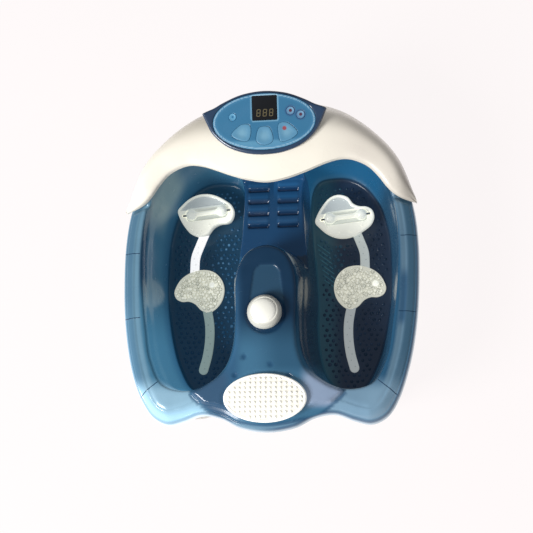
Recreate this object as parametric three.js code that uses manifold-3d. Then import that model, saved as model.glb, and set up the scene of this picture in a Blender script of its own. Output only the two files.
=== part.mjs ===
// Foot spa basin: a tinted clear tub with two foot wells, a base housing, a white rear cover that
// carries the control pod, and the drives, heaters and air supply between tub and base.
// Millimetres. X runs to the user's right, +Y to the control panel, Z up from under the feet.
import * as THREE from 'three';
import { mergeVertices } from 'three/addons/utils/BufferGeometryUtils.js';
import Module from 'manifold-3d';

const wasm = await Module();
wasm.setup();

// ---------------------------------------------------------------- driving dimensions
const GAP = 0.3; // clearance between pieces that touch
const WALL = 3; // tub shell
const FLOOR_Z = 35; // top of the well floors
const RIM_EDGE_Z = 141; // outer edge of the rolled rim at the sides
const DECK_Z = 150; // crown of the rim
const RIM_WIDTH = 24;
const RIM_SKIRT_Z = 112; // lower edge of the rim's turned-down skirt
const LOBE_DROP = 14; // how far the rim dips at the two front lobes
const COVER_SEAT_Z = 140; // flat seat behind the wells that the rear cover stands over
const COVER_SEAT_Y = 71; // front edge of that seat beside the wells
const COLLAR_TOP_Z = 162; // how high the well walls rise under the cover
const BRIDGE_Z = 97; // low louvred bridge between the wells
const RIDGE_SLOPE = 0.07; // the central ridge rises towards the rear
const RIDGE_TOP_AT_0 = 170;
const COVER_WALL = 2.6;
const COVER_SKIRT_Z = 124;
const BASE_BOTTOM_Z = 4;
const BASE_TOP_Z = 120;
const BASE_WALL = 2.5;
const BASE_FLOOR_Z = BASE_BOTTOM_Z + BASE_WALL;
const PANEL_TILT = THREE.MathUtils.degToRad(15);
const PANEL_CENTRE = [0, 176.6, 192.2];
const HEAD_Y = -75; // spindle of the turning massage head
const PAD_Y = -182; // centre of the oval nodule pad
const ROLLER_Z = 62;
const CABLE_Y = 187; // where the panel cable drops through the tub's rear seat
const ROLLER_TURN = THREE.MathUtils.degToRad(6);
const GEAR_MODULE = 1;
const GEAR_TEETH = 36;
const PINION_TEETH = 12;
const GEAR_ROOT = 1.15; // tooth depth below the pitch circle
const GEAR_TIP = 0.75; // tooth height above it
const TOOTH_THINNING = 0.86; // leaves running backlash
const RIM_POINTS = 56;
const WELL_POINTS = 30;
const RIDGE_POINTS = 32;
const POD_POINTS = 34;
const KIDNEY_POINTS = 28;

// Half outlines run from the front centre to the rear centre on the right-hand side.
const RIM_HALF = [
  [0, -222], [35, -216.5], [60, -204.5], [85, -200.5], [110, -208], [131, -211.5], [151, -202],
  [166, -180], [181, -137], [191, -84], [195.5, -30], [196, 28], [191, 72], [181, 105],
  [162, 142], [134, 172], [98, 197], [50, 211], [0, 215],
];
const RIDGE_HALF = [
  [0, -213.5], [43, -207], [66, -201], [85, -187], [98, -173], [77, -161], [55, -144], [45, -121],
  [42, -90], [42, -30], [36, -6], [24, 10], [0, 18],
];
const WELL = [
  [81, 151], [59, 146], [49, 128], [49, 60], [53, 15], [56, -30], [55, -70], [58, -105], [65, -132],
  [79, -151], [100, -158], [120, -150], [137, -121], [148, -86], [157, -30], [159, 28], [155, 75],
  [143, 111], [124, 137], [103, 149],
];
// The well's outline where its wall reaches the crown of the rim, point for point over WELL.
const WELL_TOP = [
  [80, 162], [52, 154], [38.5, 131], [38, 60], [42, 14], [44, -30], [42.5, -71], [44, -110],
  [53, -139], [71, -158], [101, -170], [135, -162], [153, -128], [160, -90], [167.5, -31],
  [170, 28], [165.5, 78], [152, 117.5], [131.5, 145.5], [107, 159.5],
];
const FRONT_KIDNEY = [
  [78, -8], [81, -25], [90, -37], [101, -42.5], [111, -38], [120, -29], [129, -25], [139, -25],
  [147, -21], [150.5, -13], [148, -3], [141, 8], [128, 17], [112, 21], [95, 18], [83, 7],
];
// The roller trays share one outline about their own centre, turned over on the right.
const TRAY_KIDNEY = [
  [-41, 8], [-38, -3], [-30, -17], [-20, -28], [-8, -32], [5, -28], [13, -18], [21, -14], [31, -13],
  [39, -8], [42, 2], [38, 13], [27, 22], [14, 29], [2, 32], [-12, 31], [-25, 25], [-35, 16],
];
const LEFT_TRAY = { name: 'left', x: -103.5, y: 96.5, flip: 1 };
const RIGHT_TRAY = { name: 'right', x: 95, y: 87.5, flip: -1 };
// Stations of the rear cover from tip to centre: outer edge x, y, z, crown z, inner edge x, y, z.
const COVER_STATIONS = [
  [195.6, 74, 144, 145, 193.5, 73, 145],
  [194.5, 81, 144, 149.5, 182, 77, 149.5],
  [190.5, 92, 146, 155.5, 170, 83, 154.5],
  [185, 107, 150, 163, 158, 93, 160],
  [176.5, 128, 154, 169, 147, 107, 164],
  [164, 148, 157, 173, 134, 120, 168],
  [148, 166, 159, 177, 118, 128, 171],
  [128, 184, 161, 180, 103, 131, 172],
  [105, 200, 162, 182, 86, 128.5, 172],
  [82, 210, 163, 184, 68, 122.5, 171],
  [55, 216, 164, 186, 49, 115.5, 169],
  [28, 219.5, 165, 187, 25, 108.5, 167],
  [0, 221, 165, 187, 0, 105, 166],
];

// ---------------------------------------------------------------- materials
function material(color, roughness, metalness = 0) {
  return new THREE.MeshStandardMaterial({ color, roughness, metalness });
}

const tintedBlue = material('#2f6186', 0.15);
const deepBlue = material('#2c4668', 0.3);
const whiteGloss = material('#f4efe3', 0.3);
const housingWhite = material('#e7e6e1', 0.5);
const translucentWhite = material('#d5d6c8', 0.35);
const panelBlue = material('#4682a8', 0.35);
const petalBlue = material('#76a5c0', 0.35);
const displayBlack = material('#1b1d22', 0.1);
const keyWhite = material('#c9d3da', 0.4);
const blackRubber = material('#2a2b2d', 0.9);
const steel = material('#a9adb0', 0.35, 1);
const aluminium = material('#c4c7c9', 0.45, 1);
const brass = material('#c6a560', 0.35, 1);
const boardGreen = material('#2c6a44', 0.6);
const acetal = material('#ece9dd', 0.5);
const motorCan = material('#8f9498', 0.4, 1);
const hoseClear = material('#cfd6d8', 0.4);

// ---------------------------------------------------------------- outlines
function mirrored(half) {
  const left = half.filter(([x]) => x > 0).reverse().map(([x, y]) => [-x, y]);
  return [...half, ...left];
}

function smoothLoop(points, count) {
  const corners = points.map(([x, y]) => new THREE.Vector3(x, y, 0));
  const curve = new THREE.CatmullRomCurve3(corners, true, 'centripetal');
  return curve.getSpacedPoints(count).slice(0, count).map((p) => new THREE.Vector2(p.x, p.y));
}

function ellipse(radiusX, radiusY, count = 36) {
  const points = [];
  for (let i = 0; i < count; i += 1) {
    const angle = (i / count) * 2 * Math.PI;
    points.push(new THREE.Vector2(radiusX * Math.cos(angle), radiusY * Math.sin(angle)));
  }
  return points;
}

function roundedBox(width, depth, radius, centreX = 0, centreY = 0) {
  const points = [];
  for (let i = 0; i < 16; i += 1) {
    const angle = ((i + 0.5) / 16) * 2 * Math.PI;
    const x = Math.sign(Math.cos(angle)) * (width / 2 - radius) + radius * Math.cos(angle);
    const y = Math.sign(Math.sin(angle)) * (depth / 2 - radius) + radius * Math.sin(angle);
    points.push(new THREE.Vector2(centreX + x, centreY + y));
  }
  return points;
}

// Moves a counter-clockwise loop inwards; a negative distance moves it outwards.
function inset(loop, distance) {
  return loop.map((point, i) => {
    const before = loop.at(i - 1);
    const after = loop[(i + 1) % loop.length];
    const along = after.clone().sub(before).normalize();
    return new THREE.Vector2(point.x - along.y * distance, point.y + along.x * distance);
  });
}

function ring(loop, height) {
  return loop.map((p) => new THREE.Vector3(p.x, p.y, typeof height === 'function' ? height(p) : height));
}

function ribbon(path, width, steps = 10) {
  const curve = new THREE.SplineCurve(path.map(([x, y]) => new THREE.Vector2(x, y)));
  const right = [];
  const left = [];
  for (let i = 0; i <= steps; i += 1) {
    const point = curve.getPoint(i / steps);
    const along = curve.getTangent(i / steps);
    const across = new THREE.Vector2(along.y, -along.x).multiplyScalar(width / 2);
    right.push(point.clone().add(across));
    left.unshift(point.clone().sub(across));
  }
  return [...right, ...roundEnd(right.at(-1), left[0]), ...left, ...roundEnd(left.at(-1), right[0])];
}

function roundEnd(from, to) {
  const centre = from.clone().add(to).multiplyScalar(0.5);
  const spoke = from.clone().sub(centre);
  const spokeAt = (turn) => spoke.clone().rotateAround(new THREE.Vector2(), turn * Math.PI);
  return [0.25, 0.5, 0.75].map((turn) => spokeAt(turn).add(centre));
}

// ---------------------------------------------------------------- solids
// A closed body through rings that hold the same number of points.
function loft(rings, capOutline = rings[0].map((p) => new THREE.Vector2(p.x, p.y))) {
  const count = rings[0].length;
  const positions = rings.flat().flatMap((p) => [p.x, p.y, p.z]);
  const index = [];
  for (let r = 0; r + 1 < rings.length; r += 1) {
    for (let i = 0; i < count; i += 1) {
      const a = r * count + i;
      const b = r * count + ((i + 1) % count);
      index.push(a, b, b + count, a, b + count, a + count);
    }
  }
  const last = (rings.length - 1) * count;
  const clockwise = THREE.ShapeUtils.isClockWise(capOutline);
  for (const face of THREE.ShapeUtils.triangulateShape(capOutline, [])) {
    const [a, b, c] = clockwise ? face.reverse() : face;
    index.push(c, b, a, last + a, last + b, last + c);
  }
  const geometry = new THREE.BufferGeometry();
  geometry.setAttribute('position', new THREE.Float32BufferAttribute(positions, 3));
  geometry.setIndex(index);
  return solid(geometry);
}

function signedVolume(vertices, triangles) {
  const corner = (i) => new THREE.Vector3().fromArray(vertices, 3 * i);
  let volume = 0;
  for (let t = 0; t < triangles.length; t += 3) {
    volume += corner(triangles[t]).dot(corner(triangles[t + 1]).cross(corner(triangles[t + 2])));
  }
  return volume / 6;
}

// Merges shared vertices and drops the faces that this leaves without area.
function weld(geometry) {
  const bare = geometry.clone();
  bare.deleteAttribute('normal');
  bare.deleteAttribute('uv');
  const welded = mergeVertices(bare, 1e-3);
  const index = welded.index.array;
  const triangles = [];
  for (let t = 0; t < index.length; t += 3) {
    const [a, b, c] = [index[t], index[t + 1], index[t + 2]];
    if (a !== b && b !== c && c !== a) {
      triangles.push(a, b, c);
    }
  }
  return { vertices: Float32Array.from(welded.attributes.position.array), triangles };
}

// Turns a three.js geometry's faces outwards and makes it a solid, ready to join and cut.
function solid(geometry) {
  const { vertices, triangles } = weld(geometry);
  if (signedVolume(vertices, triangles) < 0) {
    triangles.reverse();
  }
  const triVerts = Uint32Array.from(triangles);
  return new wasm.Manifold(new wasm.Mesh({ numProp: 3, vertProperties: vertices, triVerts }));
}

function cut(body, ...tools) {
  return tools.reduce((rest, tool) => rest.subtract(tool), body);
}

function join(body, ...others) {
  return others.reduce((whole, other) => whole.add(other), body);
}

function prism(outline, low, high) {
  return loft([ring(outline, low), ring(outline, high)]);
}

function disc(radius, low, high, x = 0, y = 0, sides = 20) {
  const outline = ellipse(radius, radius, sides).map((p) => new THREE.Vector2(p.x + x, p.y + y));
  return prism(outline, low, high);
}

function block(lowCorner, highCorner) {
  const [low, high] = [new THREE.Vector3(...lowCorner), new THREE.Vector3(...highCorner)];
  const size = high.clone().sub(low);
  const centre = low.clone().add(high).multiplyScalar(0.5);
  const box = new THREE.BoxGeometry(size.x, size.y, size.z);
  box.translate(centre.x, centre.y, centre.z);
  return solid(box);
}

function turned(profile, sides = 28) {
  const lathe = new THREE.LatheGeometry(profile.map(([r, z]) => new THREE.Vector2(r, z)), sides);
  lathe.rotateX(Math.PI / 2);
  return solid(lathe);
}

function tubeAlong(points, radius, steps) {
  const path = new THREE.CatmullRomCurve3(points.map((p) => new THREE.Vector3(...p)));
  const section = new THREE.Shape(ellipse(radius, radius, 8));
  return solid(new THREE.ExtrudeGeometry(section, { steps, bevelEnabled: false, extrudePath: path }));
}

// Flat-flanked teeth, thinned so that a meshing pair has running backlash.
function gearOutline(teeth, turn = 0) {
  const pitchRadius = (GEAR_MODULE * teeth) / 2;
  const pitch = (2 * Math.PI) / teeth;
  const corners = [
    [-0.36, pitchRadius - GEAR_ROOT], [-0.17, pitchRadius + GEAR_TIP],
    [0.17, pitchRadius + GEAR_TIP], [0.36, pitchRadius - GEAR_ROOT],
  ];
  const points = [];
  for (let i = 0; i < teeth; i += 1) {
    for (const [share, radius] of corners) {
      const angle = turn + (i + share * TOOTH_THINNING) * pitch;
      points.push(new THREE.Vector2(radius * Math.cos(angle), radius * Math.sin(angle)));
    }
  }
  return points;
}

// ---------------------------------------------------------------- scene
const basin = new THREE.Group();
const panelGroup = new THREE.Group();
panelGroup.position.set(...PANEL_CENTRE);
panelGroup.rotation.x = PANEL_TILT;
basin.add(panelGroup);

function place(name, body, look, parent = basin) {
  const { vertProperties, triVerts } = body.getMesh();
  const raw = new THREE.BufferGeometry();
  raw.setAttribute('position', new THREE.BufferAttribute(Float32Array.from(vertProperties), 3));
  raw.setIndex(Array.from(triVerts));
  const { vertices, triangles } = weld(raw);
  const geometry = new THREE.BufferGeometry();
  geometry.setAttribute('position', new THREE.BufferAttribute(vertices, 3));
  geometry.setIndex(triangles);
  geometry.computeVertexNormals();
  const mesh = new THREE.Mesh(geometry, look);
  mesh.name = name;
  parent.add(mesh);
  return mesh;
}

function onSides(make) {
  make('left', -1);
  make('right', 1);
}

// ---------------------------------------------------------------- tub
const rimLoop = smoothLoop(mirrored(RIM_HALF), RIM_POINTS);
const ridgeLoop = smoothLoop(mirrored(RIDGE_HALF), RIDGE_POINTS);
const SCREW_POSTS = [[20, -140], [130, -158], [48, 174]].flatMap(([x, y]) => [[x, y], [-x, y]]);
const POST_RADIUS = 4.5;

function rimHeight(point, depth) {
  const toLobe = Math.hypot(Math.abs(point.x) - 140, point.y + 205);
  const lobe = LOBE_DROP * (1 - THREE.MathUtils.smoothstep(toLobe, 0, 70));
  const edge = RIM_EDGE_Z - lobe;
  return edge + (DECK_Z - edge) * Math.sin((Math.PI / 2) * Math.min(1, depth / RIM_WIDTH));
}

function rimBody(shrink) {
  const steps = [[0, -8], [0.8, -2.5], [3.5, 0], [11, 0], [RIM_WIDTH, 0]];
  const skirt = ring(inset(rimLoop, 3 + shrink), RIM_SKIRT_Z - shrink);
  const upper = steps.map(([depth, drop]) => {
    const loop = inset(rimLoop, depth + shrink);
    return ring(loop, (p) => rimHeight(p, depth) + drop - shrink);
  });
  return loft([skirt, ...upper]);
}

function ridgeBody(shrink) {
  const steps = [[0, -14], [1.5, -6], [5, -1.5], [10, 0]];
  const foot = ring(inset(ridgeLoop, shrink), RIM_SKIRT_Z + 20);
  const upper = steps.map(([depth, drop]) => {
    const top = (p) => RIDGE_TOP_AT_0 + RIDGE_SLOPE * p.y + drop - shrink;
    return ring(inset(ridgeLoop, depth + shrink), top);
  });
  return loft([foot, ...upper]);
}

// A well's outline at a height, between its floor outline and its outline at the crown.
function wellLoop(z) {
  const curves = [WELL, WELL_TOP].map((points) => {
    const corners = points.map(([x, y]) => new THREE.Vector3(x, y, 0));
    return new THREE.CatmullRomCurve3(corners, true, 'centripetal');
  });
  const climb = (z - FLOOR_Z) / (DECK_Z - FLOOR_Z);
  return Array.from({ length: WELL_POINTS }, (unused, i) => {
    const t = curves[0].getUtoTmapping(i / WELL_POINTS);
    const [low, high] = curves.map((curve) => curve.getPoint(t));
    return new THREE.Vector2(low.x, low.y).lerp(high, climb);
  });
}

function wellBody(side, grow) {
  const levels = [[FLOOR_Z, 4], [FLOOR_Z + 1.2, 1.3], [FLOOR_Z + 5, 0], [DECK_Z, 0], [190, 0]];
  const rings = levels.map(([z, narrowing]) => {
    return ring(inset(wellLoop(z), narrowing - grow), z < DECK_Z / 2 ? z - grow : z);
  });
  return loft(rings.map((points) => points.map((p) => new THREE.Vector3(side * p.x, p.y, p.z))));
}

// The rounded rear end of the ridge, which the cut behind it leaves standing.
function noseBody(shrink) {
  const steps = [[-14, BRIDGE_Z - 12], [-11, BRIDGE_Z + 4], [-3, 140], [0, 172], [0, 210]];
  return loft(steps.map(([depth, z]) => ring(inset(ridgeLoop, depth + shrink), z)));
}

// The cut that lowers the ridge to the louvred bridge behind the dome.
function bridgeCut(grow) {
  const low = [[-62, -20], [62, -20], [62, 112], [50, 132], [-50, 132], [-62, 112]];
  const high = [[-62, -20], [62, -20], [62, 128], [50, 150], [-50, 150], [-62, 128]];
  const loopOf = (points) => inset(points.map(([x, y]) => new THREE.Vector2(x, y)), -grow);
  const wholeCut = loft([ring(loopOf(low), BRIDGE_Z - grow), ring(loopOf(high), 200)]);
  return cut(wholeCut, noseBody(grow));
}

// What is cut off the rim's crown to make the flat seat under the rear cover.
// The seat's front edge slants back towards the wells, as the cover's edge does.
function coverSeatCut(grow) {
  const outline = (front) => [
    [-220, front - 12], [-168, front + 11], [168, front + 11], [220, front - 12], [220, 240], [-220, 240],
  ].map(([x, y]) => new THREE.Vector2(x, y));
  const front = COVER_SEAT_Y - grow;
  return loft([ring(outline(front), COVER_SEAT_Z - grow), ring(outline(front - 8), COVER_SEAT_Z + 12)]);
}

function crownBody(shrink) {
  return cut(join(rimBody(shrink), ridgeBody(shrink)), coverSeatCut(shrink));
}

// Room under the rear cover that the well and bridge walls rise into, to just behind its inner lip.
function collarSpace() {
  const low = [[-172, 66], [172, 66], [172, 205], [-172, 205]].map(([x, y]) => new THREE.Vector2(x, y));
  const high = [[-150, 120], [150, 120], [120, 190], [-120, 190]].map(([x, y]) => new THREE.Vector2(x, y));
  return loft([ring(low, COVER_SEAT_Z - 10), ring(high, COLLAR_TOP_Z)]);
}

function tub() {
  const shell = cut(crownBody(0), crownBody(WALL));
  const hulls = join(wellBody(-1, WALL), wellBody(1, WALL), bridgeCut(WALL));
  const slab = prism(inset(rimLoop, RIM_WIDTH - 6), BASE_BOTTOM_Z, COVER_SEAT_Z - 1);
  const crown = join(crownBody(0), slab);
  const posts = SCREW_POSTS.map(([x, y]) => disc(POST_RADIUS, BASE_BOTTOM_Z + 6, 200, x, y, 12));
  const drilled = SCREW_POSTS.map(([x, y]) => disc(1.9, 0, 32, x, y, 8));
  const collar = hulls.intersect(collarSpace());
  const solidTub = join(shell, join(hulls, ...posts).intersect(crown), collar);
  const sealHole = disc(7.4, 120, 190, 0, HEAD_Y);
  const cableHole = disc(6, 120, 160, 0, CABLE_Y, 12);
  const openings = [wellBody(-1, 0), wellBody(1, 0), bridgeCut(0), sealHole, cableHole];
  return cut(solidTub, ...openings, ...drilled);
}

place('tub', tub(), tintedBlue);

// ---------------------------------------------------------------- base housing, feet and screws
function baseHousing() {
  const foot = rimLoop.map((p) => new THREE.Vector2(p.x * 0.85, p.y * 0.87));
  const knee = rimLoop.map((p) => new THREE.Vector2(p.x * 0.88, p.y * 0.89));
  const mouth = inset(rimLoop, 8);
  const outer = loft([ring(foot, BASE_BOTTOM_Z), ring(knee, BASE_BOTTOM_Z + 6), ring(mouth, BASE_TOP_Z)]);
  const inner = loft([
    ring(inset(foot, BASE_WALL), BASE_FLOOR_Z), ring(inset(knee, BASE_WALL), BASE_BOTTOM_Z + 6.5),
    ring(inset(mouth, BASE_WALL), BASE_TOP_Z + 1),
  ]);
  const holes = SCREW_POSTS.map(([x, y]) => disc(1.9, 0, 12, x, y, 8));
  const counterbores = SCREW_POSTS.map(([x, y]) => disc(4.3, 0, BASE_BOTTOM_Z + 1.4, x, y, 12));
  const cordHole = solid(new THREE.CylinderGeometry(6.3, 6.3, 60, 16).translate(-70, 190, 30));
  return cut(outer, inner, ...holes, ...counterbores, cordHole);
}

place('base_housing', baseHousing(), housingWhite);

const bush = turned([[3.5, -8], [5.9, -8], [5.9, 3], [9, 3], [9, 6], [6, 12], [3.5, 12], [3.5, -8]], 16);
const gland = place('cord_gland', bush, blackRubber);
gland.position.set(-70, 186.4, 30);
gland.rotation.x = -Math.PI / 2;

const FEET = [
  ['front_left', -118, -148], ['front_right', 118, -148],
  ['rear_left', -112, 128], ['rear_right', 112, 128],
];
for (const [name, x, y] of FEET) {
  const foot = turned([[0, 0], [8, 0], [9, 1], [9, BASE_BOTTOM_Z - GAP], [0, BASE_BOTTOM_Z - GAP]], 14);
  place(`foot_${name}`, foot, blackRubber).position.set(x, y, 0);
}

SCREW_POSTS.forEach(([x, y], i) => {
  const screw = turned([[0, 2], [3.6, 2], [3.9, 2.6], [3.9, 5], [1.5, 5], [1.5, 26], [0, 28]], 10);
  place(`base_screw_${i + 1}`, screw, steel).position.set(x, y, 0);
});

// ---------------------------------------------------------------- rear cover
function coverSection(station) {
  const [outerX, outerY, outerZ, crownZ, innerX, innerY, innerZ] = station;
  const across = new THREE.Vector2(innerX - outerX, innerY - outerY);
  const width = across.length();
  const wall = Math.min(COVER_WALL, 0.3 * width);
  const skirtZ = Math.max(COVER_SKIRT_Z, outerZ - 2 - 0.9 * width);
  const lip = Math.min(9, 0.35 * width);
  const top = [
    [0, outerZ - Math.min(6, 0.3 * width)], [0.05 * width, outerZ],
    [0.18 * width, (outerZ + crownZ) / 2 + 2], [0.42 * width, crownZ],
    [0.72 * width, (crownZ + innerZ) / 2 + 1], [0.95 * width, innerZ],
  ];
  const below = top.map(([s, z]) => [wall + s * (1 - (2 * wall) / width), z - wall]).reverse();
  const outline = [
    [0, skirtZ], ...top, [width, innerZ - 0.25 * lip], [width, innerZ - lip], [width - wall, innerZ - lip],
    ...below, [wall, skirtZ],
  ];
  return outline.map(([s, z]) => {
    const spot = across.clone().multiplyScalar(s / width);
    return { flat: new THREE.Vector2(s, z), point: new THREE.Vector3(outerX + spot.x, outerY + spot.y, z) };
  });
}

const POD_HALF = [
  [0, -43], [25, -40.5], [50, -31], [69, -14], [77, 1], [81, 10.5], [82.5, 14], [78, 16.6],
  [67, 20.8], [54, 27.6], [30, 36.9], [0, 40.7],
];
const podLoop = smoothLoop(mirrored(POD_HALF), POD_POINTS);

function podBody(grow) {
  const bowl = [[-24, 0.7], [-9, 0.91]].map(([z, scale]) => {
    const loop = podLoop.map((p) => p.clone().multiplyScalar(scale));
    return ring(inset(loop, -grow), z - grow);
  });
  const bezel = [[-1, 0], [3.6, 0.4], [5.4, 2.6]];
  return loft([...bowl, ...bezel.map(([z, depth]) => ring(inset(podLoop, depth - grow), z))]);
}

function toPanel(body) {
  return body.rotate([15, 0, 0]).translate(PANEL_CENTRE);
}

function rearCover() {
  const left = COVER_STATIONS.map(([ox, oy, oz, cz, ix, iy, iz]) => [-ox, oy, oz, cz, -ix, iy, iz]);
  const stations = [...left, ...COVER_STATIONS.slice(0, -1).reverse()];
  const sections = stations.map(coverSection);
  const capOutline = sections[COVER_STATIONS.length - 1].map((s) => s.flat);
  const shell = loft(sections.map((section) => section.map((s) => s.point)), capOutline);
  return cut(shell, toPanel(podBody(0.5)));
}

place('rear_cover', rearCover(), whiteGloss);

// ---------------------------------------------------------------- control pod
const FASCIA_X = 68.2;
const FASCIA_Y = 37.2;
const FASCIA_TOP = 4.8;
const FASCIA_BOTTOM = 1.3;
const DISPLAY = { width: 33, depth: 32.4, x: 1.4, y: 17.9 };
const KEY_BOTTOM = -2.6;
const KEY_TOP = 5.4;
const PETALS = {
  button_left: [[-19, -4], [-28, -2.5], [-36, -7], [-43.5, -16], [-34, -23], [-22, -24.5], [-17.5, -15]],
  button_middle: [[-5.5, -7.5], [-9.5, -15], [-10, -26], [0, -31], [11, -26.5], [10.5, -15], [6, -7.5]],
  button_right: [[20, -4], [19, -17], [22, -27], [33, -25.5], [44, -17], [37, -7], [28, -2]],
};
const ROUND_KEYS = {
  key_light: [-41.4, 7.7, 5], key_minus: [35.4, 12.6, 5.6], key_plus: [48.8, 6.9, 5.6],
};

function counterClockwise(loop) {
  return THREE.ShapeUtils.area(loop) < 0 ? loop.slice().reverse() : loop;
}

function controlPod() {
  const seat = prism(ellipse(FASCIA_X + 0.4, FASCIA_Y + 0.4, POD_POINTS), FASCIA_BOTTOM - GAP, 20);
  const cableHole = disc(3.2, -40, 0, 0, 0, 12);
  return cut(podBody(0), cavity(), seat, cableHole);
}

function cavity() {
  const rings = [[48, 16, -21.5], [62, 31, -8], [64.5, 34, 2]];
  return loft(rings.map(([radiusX, radiusY, z]) => ring(ellipse(radiusX, radiusY, 28), z)));
}

place('control_pod', controlPod(), deepBlue, panelGroup);

const keyLoops = {};
for (const [name, points] of Object.entries(PETALS)) {
  keyLoops[name] = counterClockwise(smoothLoop(points, 18));
}
for (const [name, [x, y, radius]] of Object.entries(ROUND_KEYS)) {
  keyLoops[name] = ellipse(radius, radius, 16).map((p) => new THREE.Vector2(p.x + x, p.y + y));
}
const displayLoop = roundedBox(DISPLAY.width, DISPLAY.depth, 1.5, DISPLAY.x, DISPLAY.y);

function fascia() {
  const plate = prism(ellipse(FASCIA_X, FASCIA_Y, POD_POINTS), FASCIA_BOTTOM, FASCIA_TOP);
  const windows = [...Object.values(keyLoops), displayLoop];
  return cut(plate, ...windows.map((loop) => prism(inset(loop, -0.35), 0, 10)));
}

place('panel_fascia', fascia(), panelBlue, panelGroup);
place('display_window', prism(displayLoop, FASCIA_BOTTOM, FASCIA_TOP - 0.2), displayBlack, panelGroup);
for (const [name, loop] of Object.entries(keyLoops)) {
  const key = loft([ring(loop, KEY_BOTTOM), ring(loop, KEY_TOP - 0.5), ring(inset(loop, 0.6), KEY_TOP)]);
  place(name, key, name.startsWith('key') ? keyWhite : petalBlue, panelGroup);
}

function controlBoard() {
  const board = prism(ellipse(58, 29, 32), -7, -5.4);
  const display = block([DISPLAY.x - 14, 4, -5.5], [DISPLAY.x + 14, 26, FASCIA_BOTTOM - GAP]);
  const switches = Object.values(keyLoops).map((loop) => {
    const centre = loop.reduce((sum, p) => sum.add(p), new THREE.Vector2()).divideScalar(loop.length);
    return disc(2.2, -5.5, KEY_BOTTOM - 1, centre.x, Math.max(centre.y, -22), 10);
  });
  return join(board, display, ...switches);
}

place('control_board', controlBoard(), boardGreen, panelGroup);

// ---------------------------------------------------------------- foot well fittings
const FITTING_Z = FLOOR_Z + GAP + 0.1;

function loopAt(outline, flipX, flipY, x = 0, y = 0, count = KIDNEY_POINTS) {
  return counterClockwise(smoothLoop(outline.map(([px, py]) => [x + flipX * px, y + flipY * py]), count));
}

function acupressurePad(side) {
  const loop = loopAt(FRONT_KIDNEY, side, 1);
  return loft([
    ring(loop, FITTING_Z), ring(loop, FITTING_Z + 3), ring(inset(loop, 1.5), FITTING_Z + 4.5),
    ring(inset(loop, 4), FITTING_Z + 5.5),
  ]);
}

onSides((name, side) => place(`acupressure_pad_${name}`, acupressurePad(side), translucentWhite));

function rollerTray({ x, y, flip }) {
  const loop = loopAt(TRAY_KIDNEY, 1, flip, x, y);
  const body = loft([
    ring(inset(loop, 6), FITTING_Z), ring(inset(loop, 2), ROLLER_Z - 14), ring(loop, ROLLER_Z - 5),
    ring(inset(loop, 1), ROLLER_Z - 1), ring(inset(loop, 4), ROLLER_Z),
  ]);
  const turn = (points) => points.map((p) => p.rotateAround(new THREE.Vector2(), ROLLER_TURN))
    .map((p) => new THREE.Vector2(p.x + x + 2, p.y + y + 2 * flip));
  const pocket = prism(turn(roundedBox(60, 19, 6)), ROLLER_Z - 9, ROLLER_Z + 20);
  const axleSlot = prism(turn(roundedBox(71, 3.8, 1)), ROLLER_Z - 1.9, ROLLER_Z + 20);
  return cut(body, pocket, axleSlot);
}

function roller() {
  const half = [[1.9, -29], [4.5, -29], [7.2, -26], [8, -22], [7.2, -18], [4.2, -15], [3.6, -12]];
  const other = half.map(([r, z]) => [r, -z]).reverse();
  return turned([...half, ...other, half[0]], 14);
}

for (const tray of [LEFT_TRAY, RIGHT_TRAY]) {
  place(`roller_tray_${tray.name}`, rollerTray(tray), whiteGloss);
  const parts = [
    place(`foot_roller_${tray.name}`, roller(), translucentWhite),
    place(`roller_axle_${tray.name}`, disc(1.5, -34.5, 34.5, 0, 0, 12), steel),
  ];
  for (const part of parts) {
    part.position.set(tray.x + 2, tray.y + 2 * tray.flip, ROLLER_Z);
    part.rotation.set(Math.PI / 2, 0, Math.PI / 2 + ROLLER_TURN, 'ZXY');
  }
}

const STRIP_WIDTH = 13;
const REAR_STRIP = [[108, 76], [115, 58], [121, 40], [122, 18]];
const FRONT_STRIP = [[102, -38], [98, -60], [97.5, -82], [100, -104], [105, -124]];
onSides((name, side) => {
  const tray = side < 0 ? LEFT_TRAY : RIGHT_TRAY;
  const clear = [
    prism(inset(loopAt(FRONT_KIDNEY, side, 1), -0.5), 0, 80),
    prism(inset(loopAt(TRAY_KIDNEY, 1, tray.flip, tray.x, tray.y), -0.5), 0, 80),
  ];
  for (const [end, path] of [['rear', REAR_STRIP], ['front', FRONT_STRIP]]) {
    const outline = counterClockwise(ribbon(path.map(([x, y]) => [side * x, y]), STRIP_WIDTH));
    const strip = loft([
      ring(outline, FITTING_Z), ring(outline, FITTING_Z + 2), ring(inset(outline, 1), FITTING_Z + 3),
    ]);
    place(`bubble_strip_${end}_${name}`, cut(strip, ...clear), translucentWhite);
  }
});

// ---------------------------------------------------------------- nodule pad on the front plateau
function nodulePad() {
  return loft([
    ring(ellipse(51, 29, 32), 0), ring(ellipse(52.5, 30.5, 32), 2), ring(ellipse(52.5, 30.5, 32), 5),
    ring(ellipse(50.5, 28.5, 32), 7), ring(ellipse(40, 19, 32), 9),
  ]);
}

const pad = place('nodule_pad', nodulePad(), whiteGloss);
pad.position.set(0, PAD_Y, RIDGE_TOP_AT_0 + RIDGE_SLOPE * PAD_Y + 2 * GAP);
pad.rotation.x = Math.atan(RIDGE_SLOPE);

// ---------------------------------------------------------------- massage head and its drive
const HEAD_Z = RIDGE_TOP_AT_0 + RIDGE_SLOPE * HEAD_Y + 2.2;
const HUB_Z = 116;
const GEAR_HEIGHT = 6;
const SHAFT_SPACING = (GEAR_MODULE * (GEAR_TEETH + PINION_TEETH)) / 2;
const MOTOR_Y = HEAD_Y - SHAFT_SPACING;

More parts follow.
